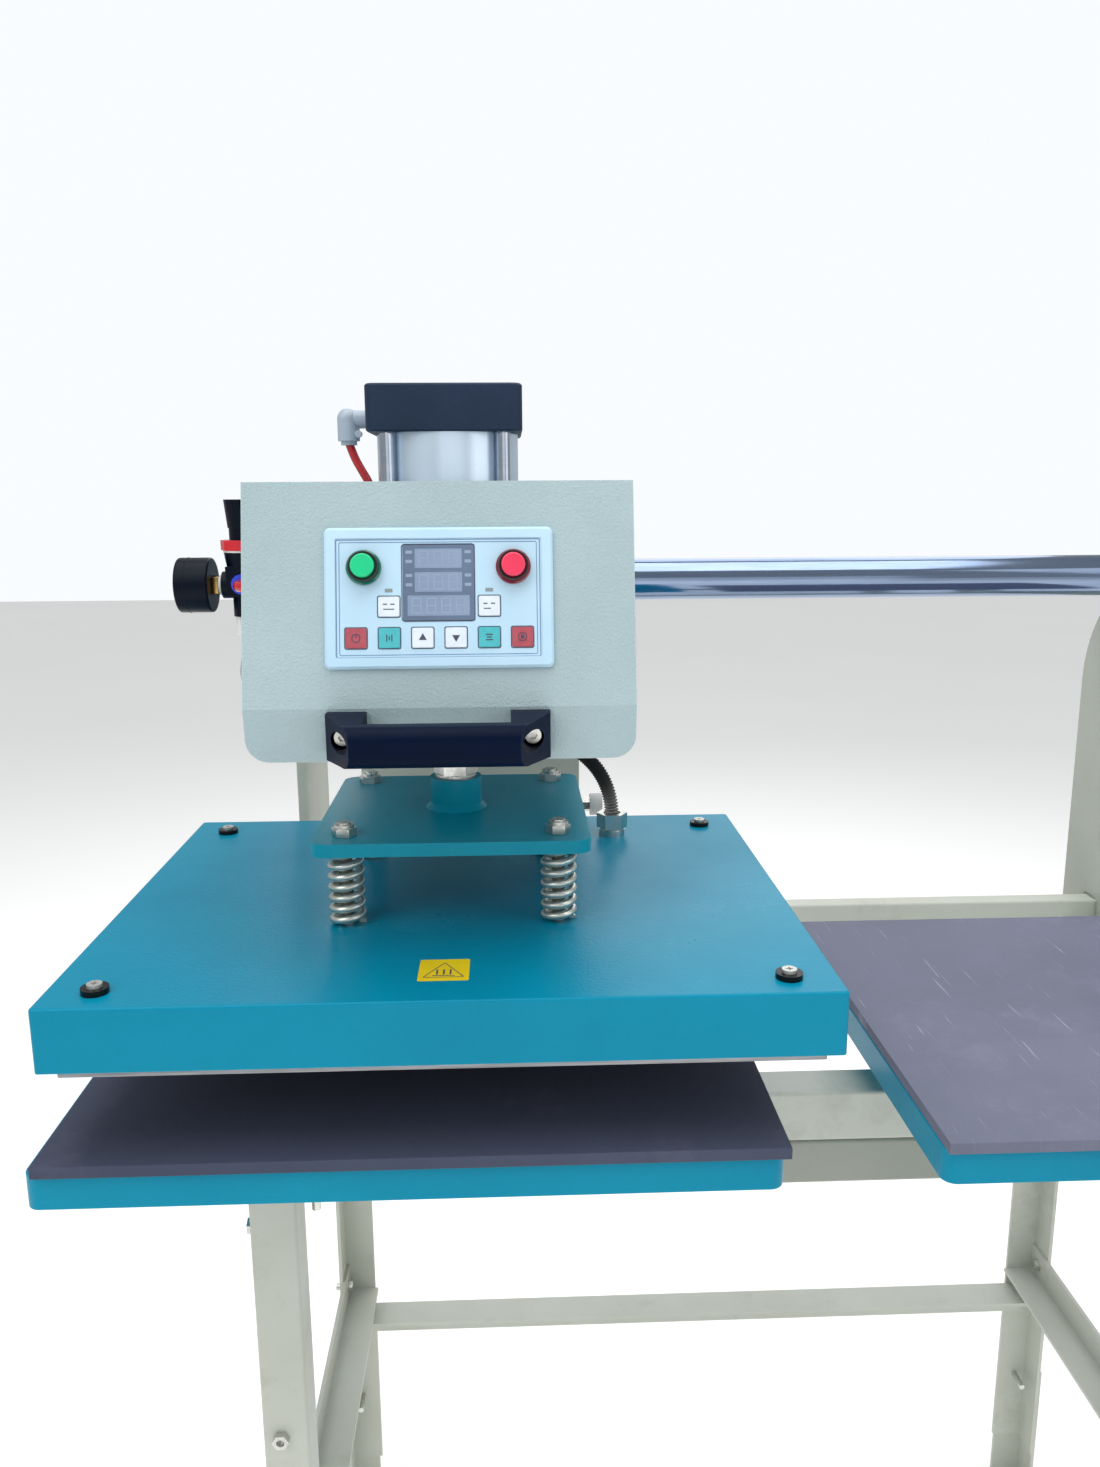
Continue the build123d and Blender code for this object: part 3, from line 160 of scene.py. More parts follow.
finishLooks = {
    "tealEnamel": {"colour": "008aa8", "shade": "0081a0", "patch": 5.0, "rough": 0.3, "spread": 0.05,
                   "grain": 430.0, "bump": 0.3, "depth": 0.0006, "wear": 0.4, "bare": "3fb3cc",
                   "sockets": {"Coat Weight": 0.04, "Coat Roughness": 0.2, "Specular IOR Level": 0.12}},
    "tealPlate": {"colour": "0098ae", "shade": "008ea6", "patch": 6.0, "rough": 0.36, "spread": 0.05,
                  "grain": 430.0, "bump": 0.35, "depth": 0.0006, "wear": 0.4, "bare": "3aa7b4",
                  "sockets": {"Coat Weight": 0.08, "Coat Roughness": 0.22, "Specular IOR Level": 0.14}},
    "creamStand": {"colour": "c6c9bf", "shade": "babdb1", "patch": 3.5, "rough": 0.46, "spread": 0.07,
                   "grain": 700.0, "bump": 0.25, "depth": 0.0003, "wear": 0.4, "bare": "e6e5da",
                   "dirt": "8d8c7c", "dirtScale": 16.0, "dirtShare": 0.35},
    "greyGreen": {"colour": "b6bbaf", "shade": "a8aea3", "patch": 4.0, "rough": 0.45, "spread": 0.07,
                  "grain": 700.0, "bump": 0.25, "depth": 0.0003, "wear": 0.4, "bare": "dcdfd4",
                  "dirt": "85887c", "dirtScale": 14.0, "dirtShare": 0.3},
    # the cream stand paint darkened for the rails: painted shade from the table above them
    "railCreamPaintedShade": {"colour": "9b9f94", "shade": "90958a", "patch": 3.5, "rough": 0.46, "spread": 0.07,
                 "grain": 700.0, "bump": 0.25, "depth": 0.0003, "wear": 0.4, "bare": "d6d6ca",
                 "dirt": "7d7c6d", "dirtScale": 16.0, "dirtShare": 0.35},
    "boxWrinkle": {"colour": "a8bdc1", "shade": "9fb4b8", "patch": 7.0, "rough": 0.42, "spread": 0.06,
                   "grain": 640.0, "grainDetail": 3.0, "bump": 0.8, "depth": 0.0009,
                   "wear": 0.35, "bare": "dfe6e0"},
    "capNavy": {"colour": "22324a", "shade": "1b2a40", "patch": 12.0, "rough": 0.5, "spread": 0.06,
                "grain": 900.0, "bump": 0.3, "depth": 0.0004, "wear": 0.35, "bare": "46566e",
                "sockets": {"Specular IOR Level": 0.2}},
    "brightChrome": {"colour": "c2cad6", "shade": "b4bfcd", "patch": 20.0, "rough": 0.12, "spread": 0.04,
                     "stretch": (0.4, 6, 6), "grain": 160.0, "bump": 0.06, "depth": 0.0002,
                     "sockets": {"Metallic": 1.0}},
    "barChrome": {"colour": "8c9cb6", "shade": "8091ac", "patch": 20.0, "rough": 0.12, "spread": 0.04,
                  "stretch": (0.4, 6, 6), "grain": 160.0, "bump": 0.06, "depth": 0.0002,
                  "sockets": {"Metallic": 1.0}},
    "zincPlate": {"colour": "d9d9d4", "shade": "c0c0ba", "patch": 60.0, "rough": 0.3, "spread": 0.1,
                  "grain": 900.0, "bump": 0.2, "depth": 0.0002, "wear": 0.5, "bare": "efeee8",
                  "dirt": "7d7666", "dirtScale": 90.0, "dirtShare": 0.4, "sockets": {"Metallic": 1.0}},
    "springSteel": {"colour": "e2e3da", "shade": "c9ccc2", "patch": 80.0, "rough": 0.34, "spread": 0.1,
                    "grain": 700.0, "bump": 0.15, "depth": 0.0002, "dirt": "6d6858", "dirtScale": 120.0,
                    "dirtShare": 0.3, "sockets": {"Metallic": 0.85}},
    "heaterCast": {"colour": "9c9da0", "shade": "86888b", "patch": 30.0, "rough": 0.42, "spread": 0.1,
                   "stretch": (1, 1, 30), "grain": 90.0, "bump": 0.25, "depth": 0.0003,
                   "sockets": {"Metallic": 0.9}},
    "barrelAnodised": {"colour": "e2f2ff", "shade": "d6e8fa", "patch": 10.0, "rough": 0.3, "spread": 0.06,
                       "stretch": (1, 1, 0.05), "grain": 900.0, "bump": 0.12, "depth": 0.0002,
                       "sockets": {"Metallic": 0.75}},
    "bearingAlloy": {"colour": "b4b6b8", "shade": "a0a2a5", "patch": 18.0, "rough": 0.38, "spread": 0.08,
                     "stretch": (12, 1, 1), "grain": 160.0, "bump": 0.15, "depth": 0.0002,
                     "wear": 0.5, "bare": "e2e3e5", "sockets": {"Metallic": 1.0}},
    "blanketWeave": {"colour": "d6d0ba", "shade": "c3bca4", "patch": 40.0, "rough": 0.9, "spread": 0.05,
                     "grain": 1200.0, "bump": 0.8, "depth": 0.001},
    "navyHandle": {"colour": "03112c", "shade": "020f27", "patch": 14.0, "rough": 0.4, "spread": 0.06,
                   "grain": 1100.0, "bump": 0.3, "depth": 0.0003, "wear": 0.3, "bare": "34405c",
                   "sockets": {"Specular IOR Level": 0.06}},
    "blackPlastic": {"colour": "030f20", "shade": "030b19", "patch": 22.0, "rough": 0.33, "spread": 0.08,
                     "grain": 900.0, "bump": 0.2, "depth": 0.0003, "wear": 0.25, "bare": "3c4350",
                     "sockets": {"Specular IOR Level": 0.12}},
    "conduitBlack": {"colour": "0b1320", "shade": "080e18", "patch": 40.0, "rough": 0.38, "spread": 0.08,
                     "grain": 900.0, "bump": 0.2, "depth": 0.0002, "dirt": "222a36", "dirtScale": 60.0,
                     "dirtShare": 0.4, "sockets": {"Specular IOR Level": 0.3}},
    "gearBody": {"colour": "26282c", "shade": "1d1f23", "patch": 25.0, "rough": 0.5, "spread": 0.06,
                 "grain": 700.0, "bump": 0.2, "depth": 0.0003, "zones": [(2, 1.2038, "b8bcc2")]},
    "panelWhite": {"colour": "bfdff2", "shade": "b7d9ee", "patch": 12.0, "rough": 0.34, "spread": 0.04,
                   "grain": 500.0, "bump": 0.08, "depth": 0.0002, "wear": 0.3, "bare": "e8f3fa",
                   "sockets": {"Coat Weight": 0.2}},
    "displaySmoke": {"colour": "5f7088", "shade": "667892", "patch": 20.0, "rough": 0.16, "spread": 0.04,
                     "grain": 200.0, "bump": 0.04, "depth": 0.0002, "sockets": {"Coat Weight": 0.6}},
    "digitWindow": {"colour": "8496b0", "shade": "8b9db7", "patch": 40.0, "rough": 0.25, "spread": 0.04,
                    "grain": 400.0, "bump": 0.05, "depth": 0.0001},
    "digitGhost": {"colour": "93a4bb", "shade": "8c9db5", "patch": 60.0, "rough": 0.3, "spread": 0.04,
                   "grain": 400.0, "bump": 0.05, "depth": 0.0001},
    "inkLine": {"colour": "5f7fa6", "shade": "6b8ab0", "patch": 60.0, "rough": 0.45, "spread": 0.05,
                "grain": 900.0, "bump": 0.1, "depth": 0.0001},
    "inkDark": {"colour": "454a5e", "shade": "3c4154", "patch": 60.0, "rough": 0.45, "spread": 0.05,
                "grain": 900.0, "bump": 0.1, "depth": 0.0001},
    "lampGrey": {"colour": "8d9a98", "shade": "808d8b", "patch": 80.0, "rough": 0.3, "spread": 0.05,
                 "grain": 900.0, "bump": 0.1, "depth": 0.0001},
    "ringPlastic": {"colour": "0f6f5a", "shade": "0b5f4e", "patch": 50.0, "rough": 0.2, "spread": 0.06,
                    "grain": 600.0, "bump": 0.1, "depth": 0.0002, "zones": [(0, -0.279, "7e2233")],
                    "sockets": {"Coat Weight": 0.5}},
    "ringBlack": {"colour": "14251f", "shade": "0e1a17", "patch": 50.0, "rough": 0.25, "spread": 0.06,
                  "grain": 600.0, "bump": 0.1, "depth": 0.0002, "zones": [(0, -0.279, "2c0d14")]},
    "startGreen": {"colour": "05cf8a", "shade": "04c683", "patch": 60.0, "rough": 0.3, "spread": 0.05,
                   "grain": 900.0, "bump": 0.1, "depth": 0.0001, "sockets": {"Coat Weight": 0.3}},
    "stopRed": {"colour": "ee3d60", "shade": "e53457", "patch": 60.0, "rough": 0.3, "spread": 0.05,
                "grain": 900.0, "bump": 0.1, "depth": 0.0001, "sockets": {"Coat Weight": 0.3}},
    "keyRed": {"colour": "b7545f", "shade": "a84a56", "patch": 160.0, "rough": 0.42, "spread": 0.06,
               "grain": 700.0, "bump": 0.2, "depth": 0.0002, "dirt": "8d3d49", "dirtScale": 240.0,
               "dirtShare": 0.6},
    "keyTeal": {"colour": "4fbcc3", "shade": "45b0b8", "patch": 120.0, "rough": 0.4, "spread": 0.05,
                "grain": 700.0, "bump": 0.15, "depth": 0.0002},
    "keyWhite": {"colour": "e4edf6", "shade": "d9e4ef", "patch": 120.0, "rough": 0.38, "spread": 0.05,
                 "grain": 700.0, "bump": 0.15, "depth": 0.0002},
    "ringRed": {"colour": "d8222f", "shade": "c81b29", "patch": 60.0, "rough": 0.32, "spread": 0.06,
                "grain": 900.0, "bump": 0.15, "depth": 0.0002, "wear": 0.3, "bare": "f07a80"},
    "fittings": {"colour": "efefec", "shade": "e2e2df", "patch": 60.0, "rough": 0.3, "spread": 0.06,
                 "grain": 900.0, "bump": 0.1, "depth": 0.0002,
                 "zones": [(2, 1.27, "2b46d8"), (2, 1.34, "a9b6c4")]},
    "tubeRed": {"colour": "c3121f", "shade": "b40f1b", "patch": 30.0, "rough": 0.24, "spread": 0.06,
                "grain": 500.0, "bump": 0.06, "depth": 0.0002,
                "sockets": {"Coat Weight": 0.4, "Subsurface Weight": 0.1}},
    "tubeClear": {"colour": "d9dde6", "shade": "cdd2de", "patch": 50.0, "rough": 0.18, "spread": 0.05,
                  "grain": 300.0, "bump": 0.05, "depth": 0.0002,
                  "sockets": {"Transmission Weight": 0.45, "IOR": 1.42}},
    "padSlate": {"colour": "3f465c", "shade": "394056", "patch": 4.0, "rough": 0.78, "spread": 0.08,
                 "grain": 900.0, "grainDetail": 6.0, "bump": 0.6, "depth": 0.0006,
                 "dirt": "656577", "dirtScale": 9.0, "dirtShare": 0.35, "wear": 0.35, "bare": "6e7084"},
    # right pad: real scuffs and fine scratches, on a base colour lightened as a painted grazing highlight
    "padScuffedPaintedHighlight": {"colour": "626679", "shade": "717387", "patch": 5.0, "rough": 0.75, "spread": 0.1,
                   "grain": 900.0, "grainDetail": 6.0, "bump": 0.6, "depth": 0.0006,
                   "dirt": "86869a", "dirtScale": 7.0, "dirtShare": 0.5, "wear": 0.4, "bare": "8b8ca0",
                   "scratch": "b4b5c4"},
    "stickerYellow": {"colour": "f3d400", "shade": "ecca00", "patch": 60.0, "rough": 0.4, "spread": 0.05,
                      "grain": 700.0, "bump": 0.1, "depth": 0.0001},
    "dialWhite": {"colour": "eeeeea", "shade": "e6e6e2", "patch": 80.0, "rough": 0.5, "spread": 0.05,
                  "grain": 900.0, "bump": 0.1, "depth": 0.0001},
    "brassFitting": {"colour": "b99a5a", "shade": "a88848", "patch": 90.0, "rough": 0.3, "spread": 0.08,
                     "grain": 900.0, "bump": 0.15, "depth": 0.0002, "sockets": {"Metallic": 1.0}},
    "rubberFoot": {"colour": "c9cbc8", "shade": "bcbebb", "patch": 80.0, "rough": 0.6, "spread": 0.05,
                   "grain": 900.0, "bump": 0.2, "depth": 0.0002},
    "screwMix": {"colour": "1c1c1e", "shade": "151517", "patch": 90.0, "rough": 0.32, "spread": 0.06,
                 "grain": 900.0, "bump": 0.15, "depth": 0.0002, "zones": [(2, 1.0451, "c6c6c0")],
                 "sockets": {"Metallic": 0.6}},
    "weldBead": {"colour": "a9ac9f", "shade": "94978a", "patch": 160.0, "rough": 0.5, "spread": 0.1,
                 "grain": 600.0, "bump": 0.5, "depth": 0.0006, "dirt": "6f7066", "dirtScale": 120.0,
                 "dirtShare": 0.5},
    "lensClear": {"colour": "f2f6f8", "shade": "eaf0f3", "patch": 20.0, "rough": 0.06, "spread": 0.02,
                  "grain": 200.0, "bump": 0.02, "depth": 0.0001,
                  "sockets": {"Transmission Weight": 1.0, "IOR": 1.45}},
    "floorPale": {"colour": "f2f2f0", "shade": "eeeeec", "patch": 0.6, "rough": 0.8, "spread": 0.05,
                  "grain": 40.0, "bump": 0.03, "depth": 0.0005,
                  "sockets": {"Emission Color": (1.0, 1.0, 1.0, 1.0), "Emission Strength": 0.3}},
}
finishes = {name: makeFinish(name, look) for name, look in finishLooks.items()}

cadFinishes = {
    "creamStand": ["upper_legs", "lower_legs", "leg_braces", "base_frame", "table_supports"],
    # the rails take the darker copy of the cream paint, which is painted shade
    "railCreamPaintedShade": ["stand_rails"],
    "greyGreen": ["side_plates", "carriage_plate", "head_arms", "roller_bracket"],
    "barChrome": ["guide_bar"],
    "brightChrome": ["piston_rod", "tie_rods"],
    "zincPlate": ["bar_end_caps", "frame_bolts", "guide_roller_front", "guide_roller_rear", "rod_nut",
                  "spring_studs", "conduit_gland", "handle_screws", "stop_buffers"],
    "tealEnamel": ["trays", "platen_cover"],
    "tealPlate": ["spring_plate"],
    "bearingAlloy": ["bearing_housings"],
    "barrelAnodised": ["cylinder_barrel"],
    "capNavy": ["cylinder_caps"],
    "boxWrinkle": ["head_box", "rear_cover"],
    "heaterCast": ["heater_plate"],
    "blanketWeave": ["insulation_blanket"],
    "navyHandle": ["handle"],
    "blackPlastic": ["regulator_body", "regulator_knob", "pressure_gauge", "gauge_needle"],
    "gearBody": ["control_gear"],
    "panelWhite": ["panel_bezel"],
    "displaySmoke": ["display_window"],
    "ringPlastic": ["button_barrels"],
    "startGreen": ["start_button"],
    "stopRed": ["stop_button"],
    "keyRed": ["key_1", "key_6"],
    "keyTeal": ["key_2", "key_5"],
    "keyWhite": ["key_3", "key_4", "key_mode_left", "key_mode_right"],
    "ringRed": ["lock_ring"],
    "fittings": ["air_fittings"],
    "tubeRed": ["air_tubes"],
    "tubeClear": ["clear_hose"],
    "screwMix": ["cover_screws"],
    "conduitBlack": ["conduit"],
    "springSteel": ["springs"],
    "padSlate": ["pad_left"],
    "padScuffedPaintedHighlight": ["pad_right"],
}
for finishName, nodeNames in cadFinishes.items():
    for nodeName in nodeNames:
        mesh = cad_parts[nodeName].data
        mesh.materials.clear()
        mesh.materials.append(finishes[finishName])
print("finishes on", sum(len(names) for names in cadFinishes.values()), "CAD nodes")


# ---- modelling by hand

def deselect():
    if bpy.context.object and bpy.context.object.mode != "OBJECT":
        bpy.ops.object.mode_set(mode="OBJECT")
    bpy.ops.object.select_all(action="DESELECT")


def pick(piece):
    deselect()
    bpy.context.view_layer.objects.active = piece
    piece.select_set(True)


def named(name, scale=None):
    piece = bpy.context.object
    piece.name = name
    piece.data.name = name
    if scale:
        piece.scale = scale
    bpy.ops.object.transform_apply(location=False, rotation=False, scale=True)
    return piece


def applyModifier(piece, kind, **settings):
    modifier = piece.modifiers.new(kind.lower(), kind)
    for name, value in settings.items():
        setattr(modifier, name, value)
    pick(piece)
    bpy.ops.object.modifier_apply(modifier=modifier.name)


def bevelSharp(piece, width, segments=2, sharpness=50):
    pick(piece)
    bpy.ops.object.mode_set(mode="EDIT")
    bpy.ops.mesh.select_mode(type="EDGE")
    bpy.ops.mesh.select_all(action="DESELECT")
    bpy.ops.mesh.edges_select_sharp(sharpness=math.radians(sharpness))
    bpy.ops.mesh.bevel(offset=width, segments=segments, affect="EDGES")
    bpy.ops.object.mode_set(mode="OBJECT")


def addBlock(name, low, high, bevel=0.0):
    deselect()
    low, high = Vector(low), Vector(high)
    bpy.ops.mesh.primitive_cube_add(size=1, location=(low + high) / 2, scale=high - low)
    piece = named(name)
    if bevel:
        bevelSharp(piece, bevel)
    return piece


def addRod(name, start, end, radius, sides=32, bevel=0.0):
    deselect()
    start, end = Vector(start), Vector(end)
    turn = (end - start).to_track_quat("Z", "Y").to_euler()
    bpy.ops.mesh.primitive_cylinder_add(vertices=sides, radius=radius, depth=(end - start).length,
                                        location=(start + end) / 2, rotation=turn)
    piece = named(name)
    if bevel:
        bevelSharp(piece, bevel)
    return piece


def selectFaces(piece, wanted):
    # leaves the piece in edit mode with the wanted faces selected
    pick(piece)
    bpy.ops.object.mode_set(mode="EDIT")
    bpy.ops.mesh.select_mode(type="FACE")
    bpy.ops.mesh.select_all(action="DESELECT")
    bpy.ops.object.mode_set(mode="OBJECT")
    for polygon in piece.data.polygons:
        polygon.select = wanted(polygon)
    bpy.ops.object.mode_set(mode="EDIT")


def facesUp(polygon):
    # in the piece's own axes
    return polygon.normal.z > 0.95


def capsRod(polygon):
    return len(polygon.vertices) > 4


def addHead(name, at, facing, radius, height, sides=6, recess=0.45, depth=0.5):
    # bolt head standing on a face, with a sunk middle
    at, facing = Vector(at), Vector(facing)
    piece = addRod(name, at, at + facing * height, radius, sides, bevel=radius * 0.09)
    selectFaces(piece, facesUp)
    bpy.ops.mesh.inset(thickness=radius * (1 - recess))
    bpy.ops.mesh.extrude_region_move(TRANSFORM_OT_translate={"value": facing * -height * depth})
    bpy.ops.object.mode_set(mode="OBJECT")
    return piece


def joinPieces(pieces, name):
    pick(pieces[0])
    for piece in pieces[1:]:
        piece.select_set(True)
    if len(pieces) > 1:
        bpy.ops.object.join()
    joined = bpy.context.object
    joined.name = name
    joined.data.name = name
    return joined


def settle(piece, body, finish, smooth=35):
    # place into the mesh, outward faces, finish, body
    pick(piece)
    bpy.ops.object.transform_apply(location=True, rotation=True, scale=True)
    bpy.ops.object.mode_set(mode="EDIT")
    bpy.ops.mesh.select_all(action="SELECT")
    bpy.ops.mesh.normals_make_consistent(inside=False)
    bpy.ops.object.mode_set(mode="OBJECT")
    bpy.ops.object.shade_smooth_by_angle(angle=math.radians(smooth))
    piece.data.materials.clear()
    piece.data.materials.append(finishes[finish])
    if body:
        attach(piece, body)
    return piece


# ---- table pads: thin sponge boards, hardly crowned

padBoard = {"gap": 0.0004, "edge": 0.0007, "cells": 24, "waves": 0.0004, "waveSize": 0.07, "fill": 1.0}

# the right pad's base colour holds a painted grazing highlight; its scuffs and scratches are real
for side, finish in (("left", "padSlate"), ("right", "padScuffedPaintedHighlight")):
    low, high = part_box("pad_" + side)
    gap = padBoard["gap"]
    pad = addBlock("tablePad" + side.title(), low + Vector((gap, gap, 0)), high - Vector((gap, gap, gap)))
    bevelSharp(pad, padBoard["edge"], segments=3)
    selectFaces(pad, facesUp)
    bpy.ops.mesh.subdivide(number_cuts=padBoard["cells"])
    bpy.ops.object.mode_set(mode="OBJECT")
    ripple = bpy.data.textures.new("padRipple" + side.title(), "CLOUDS")
    ripple.noise_scale = padBoard["waveSize"]
    applyModifier(pad, "DISPLACE", texture=ripple, texture_coords="LOCAL", direction="Z",
                  strength=padBoard["waves"], mid_level=1.0)
    settle(pad, "frame", finish, smooth=50)
    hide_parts("pad_" + side)
print("pads laid")


# ---- press springs

spring = {"mean": 0.0109, "wire": 0.0028, "turns": 7, "steps": 28, "sides": 12}
springLow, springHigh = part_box("springs")
coilReach = spring["mean"] + spring["wire"]
springHeight = springHigh.z - springLow.z


def addCoil(name, x, y):
    deselect()
    bpy.ops.mesh.primitive_circle_add(vertices=spring["sides"], radius=spring["wire"], fill_type="NOTHING",
                                      location=(x, y, springLow.z), rotation=(math.pi / 2, 0, 0))
    coil = named(name)
    bpy.ops.object.transform_apply(location=False, rotation=True, scale=False)
    bpy.ops.object.mode_set(mode="EDIT")
    bpy.ops.mesh.select_all(action="SELECT")
    bpy.ops.transform.translate(value=(spring["mean"], 0, 0))
    bpy.ops.object.mode_set(mode="OBJECT")
    rise = springHeight / spring["turns"]
    applyModifier(coil, "SCREW", axis="Z", angle=2 * math.pi, screw_offset=rise, iterations=spring["turns"],
                  steps=spring["steps"], render_steps=spring["steps"])
    pick(coil)
    bpy.ops.object.transform_apply(location=True, rotation=False, scale=False)
    bpy.ops.object.mode_set(mode="EDIT")
    bpy.ops.mesh.select_all(action="SELECT")
    bpy.ops.mesh.remove_doubles(threshold=0.00001)
    bpy.ops.mesh.fill_holes(sides=0)
    for height, up in ((springLow.z, False), (springHigh.z, True)):  # ground ends
        bpy.ops.mesh.select_all(action="SELECT")
        bpy.ops.mesh.bisect(plane_co=(x, y, height), plane_no=(0, 0, 1), use_fill=True,
                            clear_outer=up, clear_inner=not up)
    bpy.ops.object.mode_set(mode="OBJECT")
    return coil


coils = []
for x in (springLow.x + coilReach, springHigh.x - coilReach):
    for y in (springLow.y + coilReach, springHigh.y - coilReach):
        coils.append(addCoil("coil", x, y))
coilSet = joinPieces(coils, "pressSprings")
settle(coilSet, "platen", "springSteel", smooth=60)
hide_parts("springs")
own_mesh(coilSet)
print("springs wound")


# ---- ribbed runs: the heater lead's conduit, and weld beads

def closeHoles(piece):
    pick(piece)
    bpy.ops.object.mode_set(mode="EDIT")
    bpy.ops.mesh.select_all(action="SELECT")
    bpy.ops.mesh.fill_holes(sides=0)
    bpy.ops.object.mode_set(mode="OBJECT")


def addRib(name, inner, outer, pitch, sides):
    # one rib, open at both ends, standing on the floor of its own axes
    deselect()
    bpy.ops.mesh.primitive_circle_add(vertices=sides, radius=inner, fill_type="NOTHING")
    rib = named(name)
    bpy.ops.object.mode_set(mode="EDIT")
    bpy.ops.mesh.select_all(action="SELECT")
    grow = outer / inner
    for rise, scale in ((0.22, grow), (0.36, 1.0), (0.22, 1 / grow), (0.2, 1.0)):
        bpy.ops.mesh.extrude_region_move(TRANSFORM_OT_translate={"value": (0, 0, rise * pitch)})
        bpy.ops.transform.resize(value=(scale, scale, 1))
    bpy.ops.object.mode_set(mode="OBJECT")
    return rib


conduitRun = {
    "inner": 0.0068, "outer": 0.008, "pitch": 0.0029, "sides": 20,
    "route": [(-0.14, -0.067, 1.056), (-0.14, -0.067, 1.1), (-0.209, -0.084, 1.15), (-0.209, -0.084, 1.192)],
}


def addRouteLine(name, route):
    line = bpy.data.curves.new(name, "CURVE")
    line.dimensions = "3D"
    line.resolution_u = 24
    spline = line.splines.new("NURBS")
    spline.points.add(len(route) - 1)
    for point, place in zip(spline.points, route):
        point.co = (*place, 1)
    spline.order_u = 3
    spline.use_endpoint_u = True
    lineObject = bpy.data.objects.new(name, line)
    bpy.context.collection.objects.link(lineObject)
    return lineObject


conduitLine = addRouteLine("conduitLine", conduitRun["route"])
conduit = addRib("leadConduit", conduitRun["inner"], conduitRun["outer"],
                 conduitRun["pitch"], conduitRun["sides"])
applyModifier(conduit, "ARRAY", fit_type="FIT_CURVE", curve=conduitLine, use_relative_offset=False,
              use_constant_offset=True, constant_offset_displace=(0, 0, conduitRun["pitch"]),
              use_merge_vertices=True, merge_threshold=0.00005)
applyModifier(conduit, "CURVE", object=conduitLine, deform_axis="POS_Z")
bpy.data.objects.remove(conduitLine)
closeHoles(conduit)
settle(conduit, None, "conduitBlack", smooth=60)
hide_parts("conduit")
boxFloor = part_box("head_box")[0].z
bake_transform(conduit)

# air lines: each one a tube along its given route, carried by the head

airLines = {
    "cylinderTube": {"route": [(-0.3533, -0.205, 1.393), (-0.3505, -0.205, 1.384), (-0.3445, -0.205, 1.373),
                               (-0.339, -0.205, 1.3635), (-0.3365, -0.205, 1.3535)],
                     "radius": 0.0032, "finish": "tubeRed", "slot": "red_tube", "length": 0.044},
    "outletTube": {"route": [(-0.428, -0.261, 1.292), (-0.428, -0.277, 1.292), (-0.419, -0.288, 1.292),
                             (-0.4051, -0.288, 1.292)],
                   "radius": 0.0039, "finish": "tubeRed", "slot": "red_tube", "length": None},
    "clearHose": {"route": [(-0.4308, -0.234, 1.2535), (-0.4312, -0.235, 1.24), (-0.4315, -0.256, 1.216),
                            (-0.4065, -0.262, 1.206)],
                  "radius": 0.0046, "finish": "tubeClear", "slot": "clear_tube", "length": 0.067},
}
for lineName, line in airLines.items():
    tube = addRouteLine(lineName, line["route"])
    tube.data.bevel_depth = line["radius"]
    tube.data.bevel_resolution = 6
    tube.data.use_fill_caps = True
    tube.data.materials.append(finishes[line["finish"]])
    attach(tube, "head")
    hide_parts("clear_hose" if lineName == "clearHose" else "air_tubes")

weld = {"inner": 0.0021, "outer": 0.0029, "pitch": 0.0042, "sides": 10}


def addWeld(start, end):
    start, end = Vector(start), Vector(end)
    bead = addRib("bead", weld["inner"], weld["outer"], weld["pitch"], weld["sides"])
    count = max(2, round((end - start).length / weld["pitch"]))
    applyModifier(bead, "ARRAY", count=count, use_relative_offset=False, use_constant_offset=True,
                  constant_offset_displace=(0, 0, weld["pitch"]), use_merge_vertices=True,
                  merge_threshold=0.00005)
    closeHoles(bead)
    bead.rotation_euler = (end - start).to_track_quat("Z", "Y").to_euler()
    bead.location = start
    pick(bead)
    bpy.ops.object.transform_apply(location=True, rotation=True, scale=True)
    return bead


# seams of the right side: x, then y and z of both ends; the left side mirrors them
plateInner = 0.452
railLine = 0.422
legFront = -0.2275
beads = [
    ((plateInner, 0.1455, 0.862), (plateInner, 0.1455, 0.885)),
    ((plateInner, 0.146, 0.8855), (plateInner, 0.17, 0.8855)),
    ((plateInner, 0.09, 0.8595), (plateInner, 0.143, 0.8595)),
    ((plateInner, 0.175, 0.8595), (plateInner, 0.22, 0.8595)),
    ((railLine, legFront, 0.776), (railLine, legFront, 0.812)),
    ((railLine, legFront + 0.0035, 0.7735), (railLine, -0.191, 0.7735)),
    ((railLine, 0.186, 0.7735), (railLine, 0.222, 0.7735)),
    ((0.4588, -0.2, 0.0052), (0.4588, -0.2215, 0.0052)),
    ((0.4252, -0.222, 0.0052), (0.4252, -0.194, 0.0052)),
    ((0.43, 0.2275, 0.0052), (0.46, 0.2275, 0.0052)),
    ((0.408, -0.2285, 0.8145), (0.36, -0.2285, 0.8145)),
]
welds = [addWeld((side * start[0], *start[1:]), (side * end[0], *end[1:]))
         for side in (-1, 1) for start, end in beads]
frameWelds = joinPieces(welds, "frameWelds")
settle(frameWelds, "frame", "weldBead", smooth=60)
print("conduit and welds run")


# ---- control panel print, in the leaning face's own axes

face = {"centreX": -0.279, "topY": -0.344, "topZ": 1.363, "foldY": -0.378, "foldZ": 1.221}
faceLean = math.atan2(face["topZ"] - face["foldZ"], face["topY"] - face["foldY"])
faceTop = Matrix.Translation((face["centreX"], face["topY"], face["topZ"]))
faceMatrix = faceTop @ Matrix.Rotation(faceLean, 4, "X")
printed = {"overlay": 0.0032, "ink": 0.00012}


def onFace(x, s, w=0.0):
    # x across and s down from the top edge in millimetres, w proud in metres
    return faceMatrix @ Vector((x / 1000, -s / 1000, w))


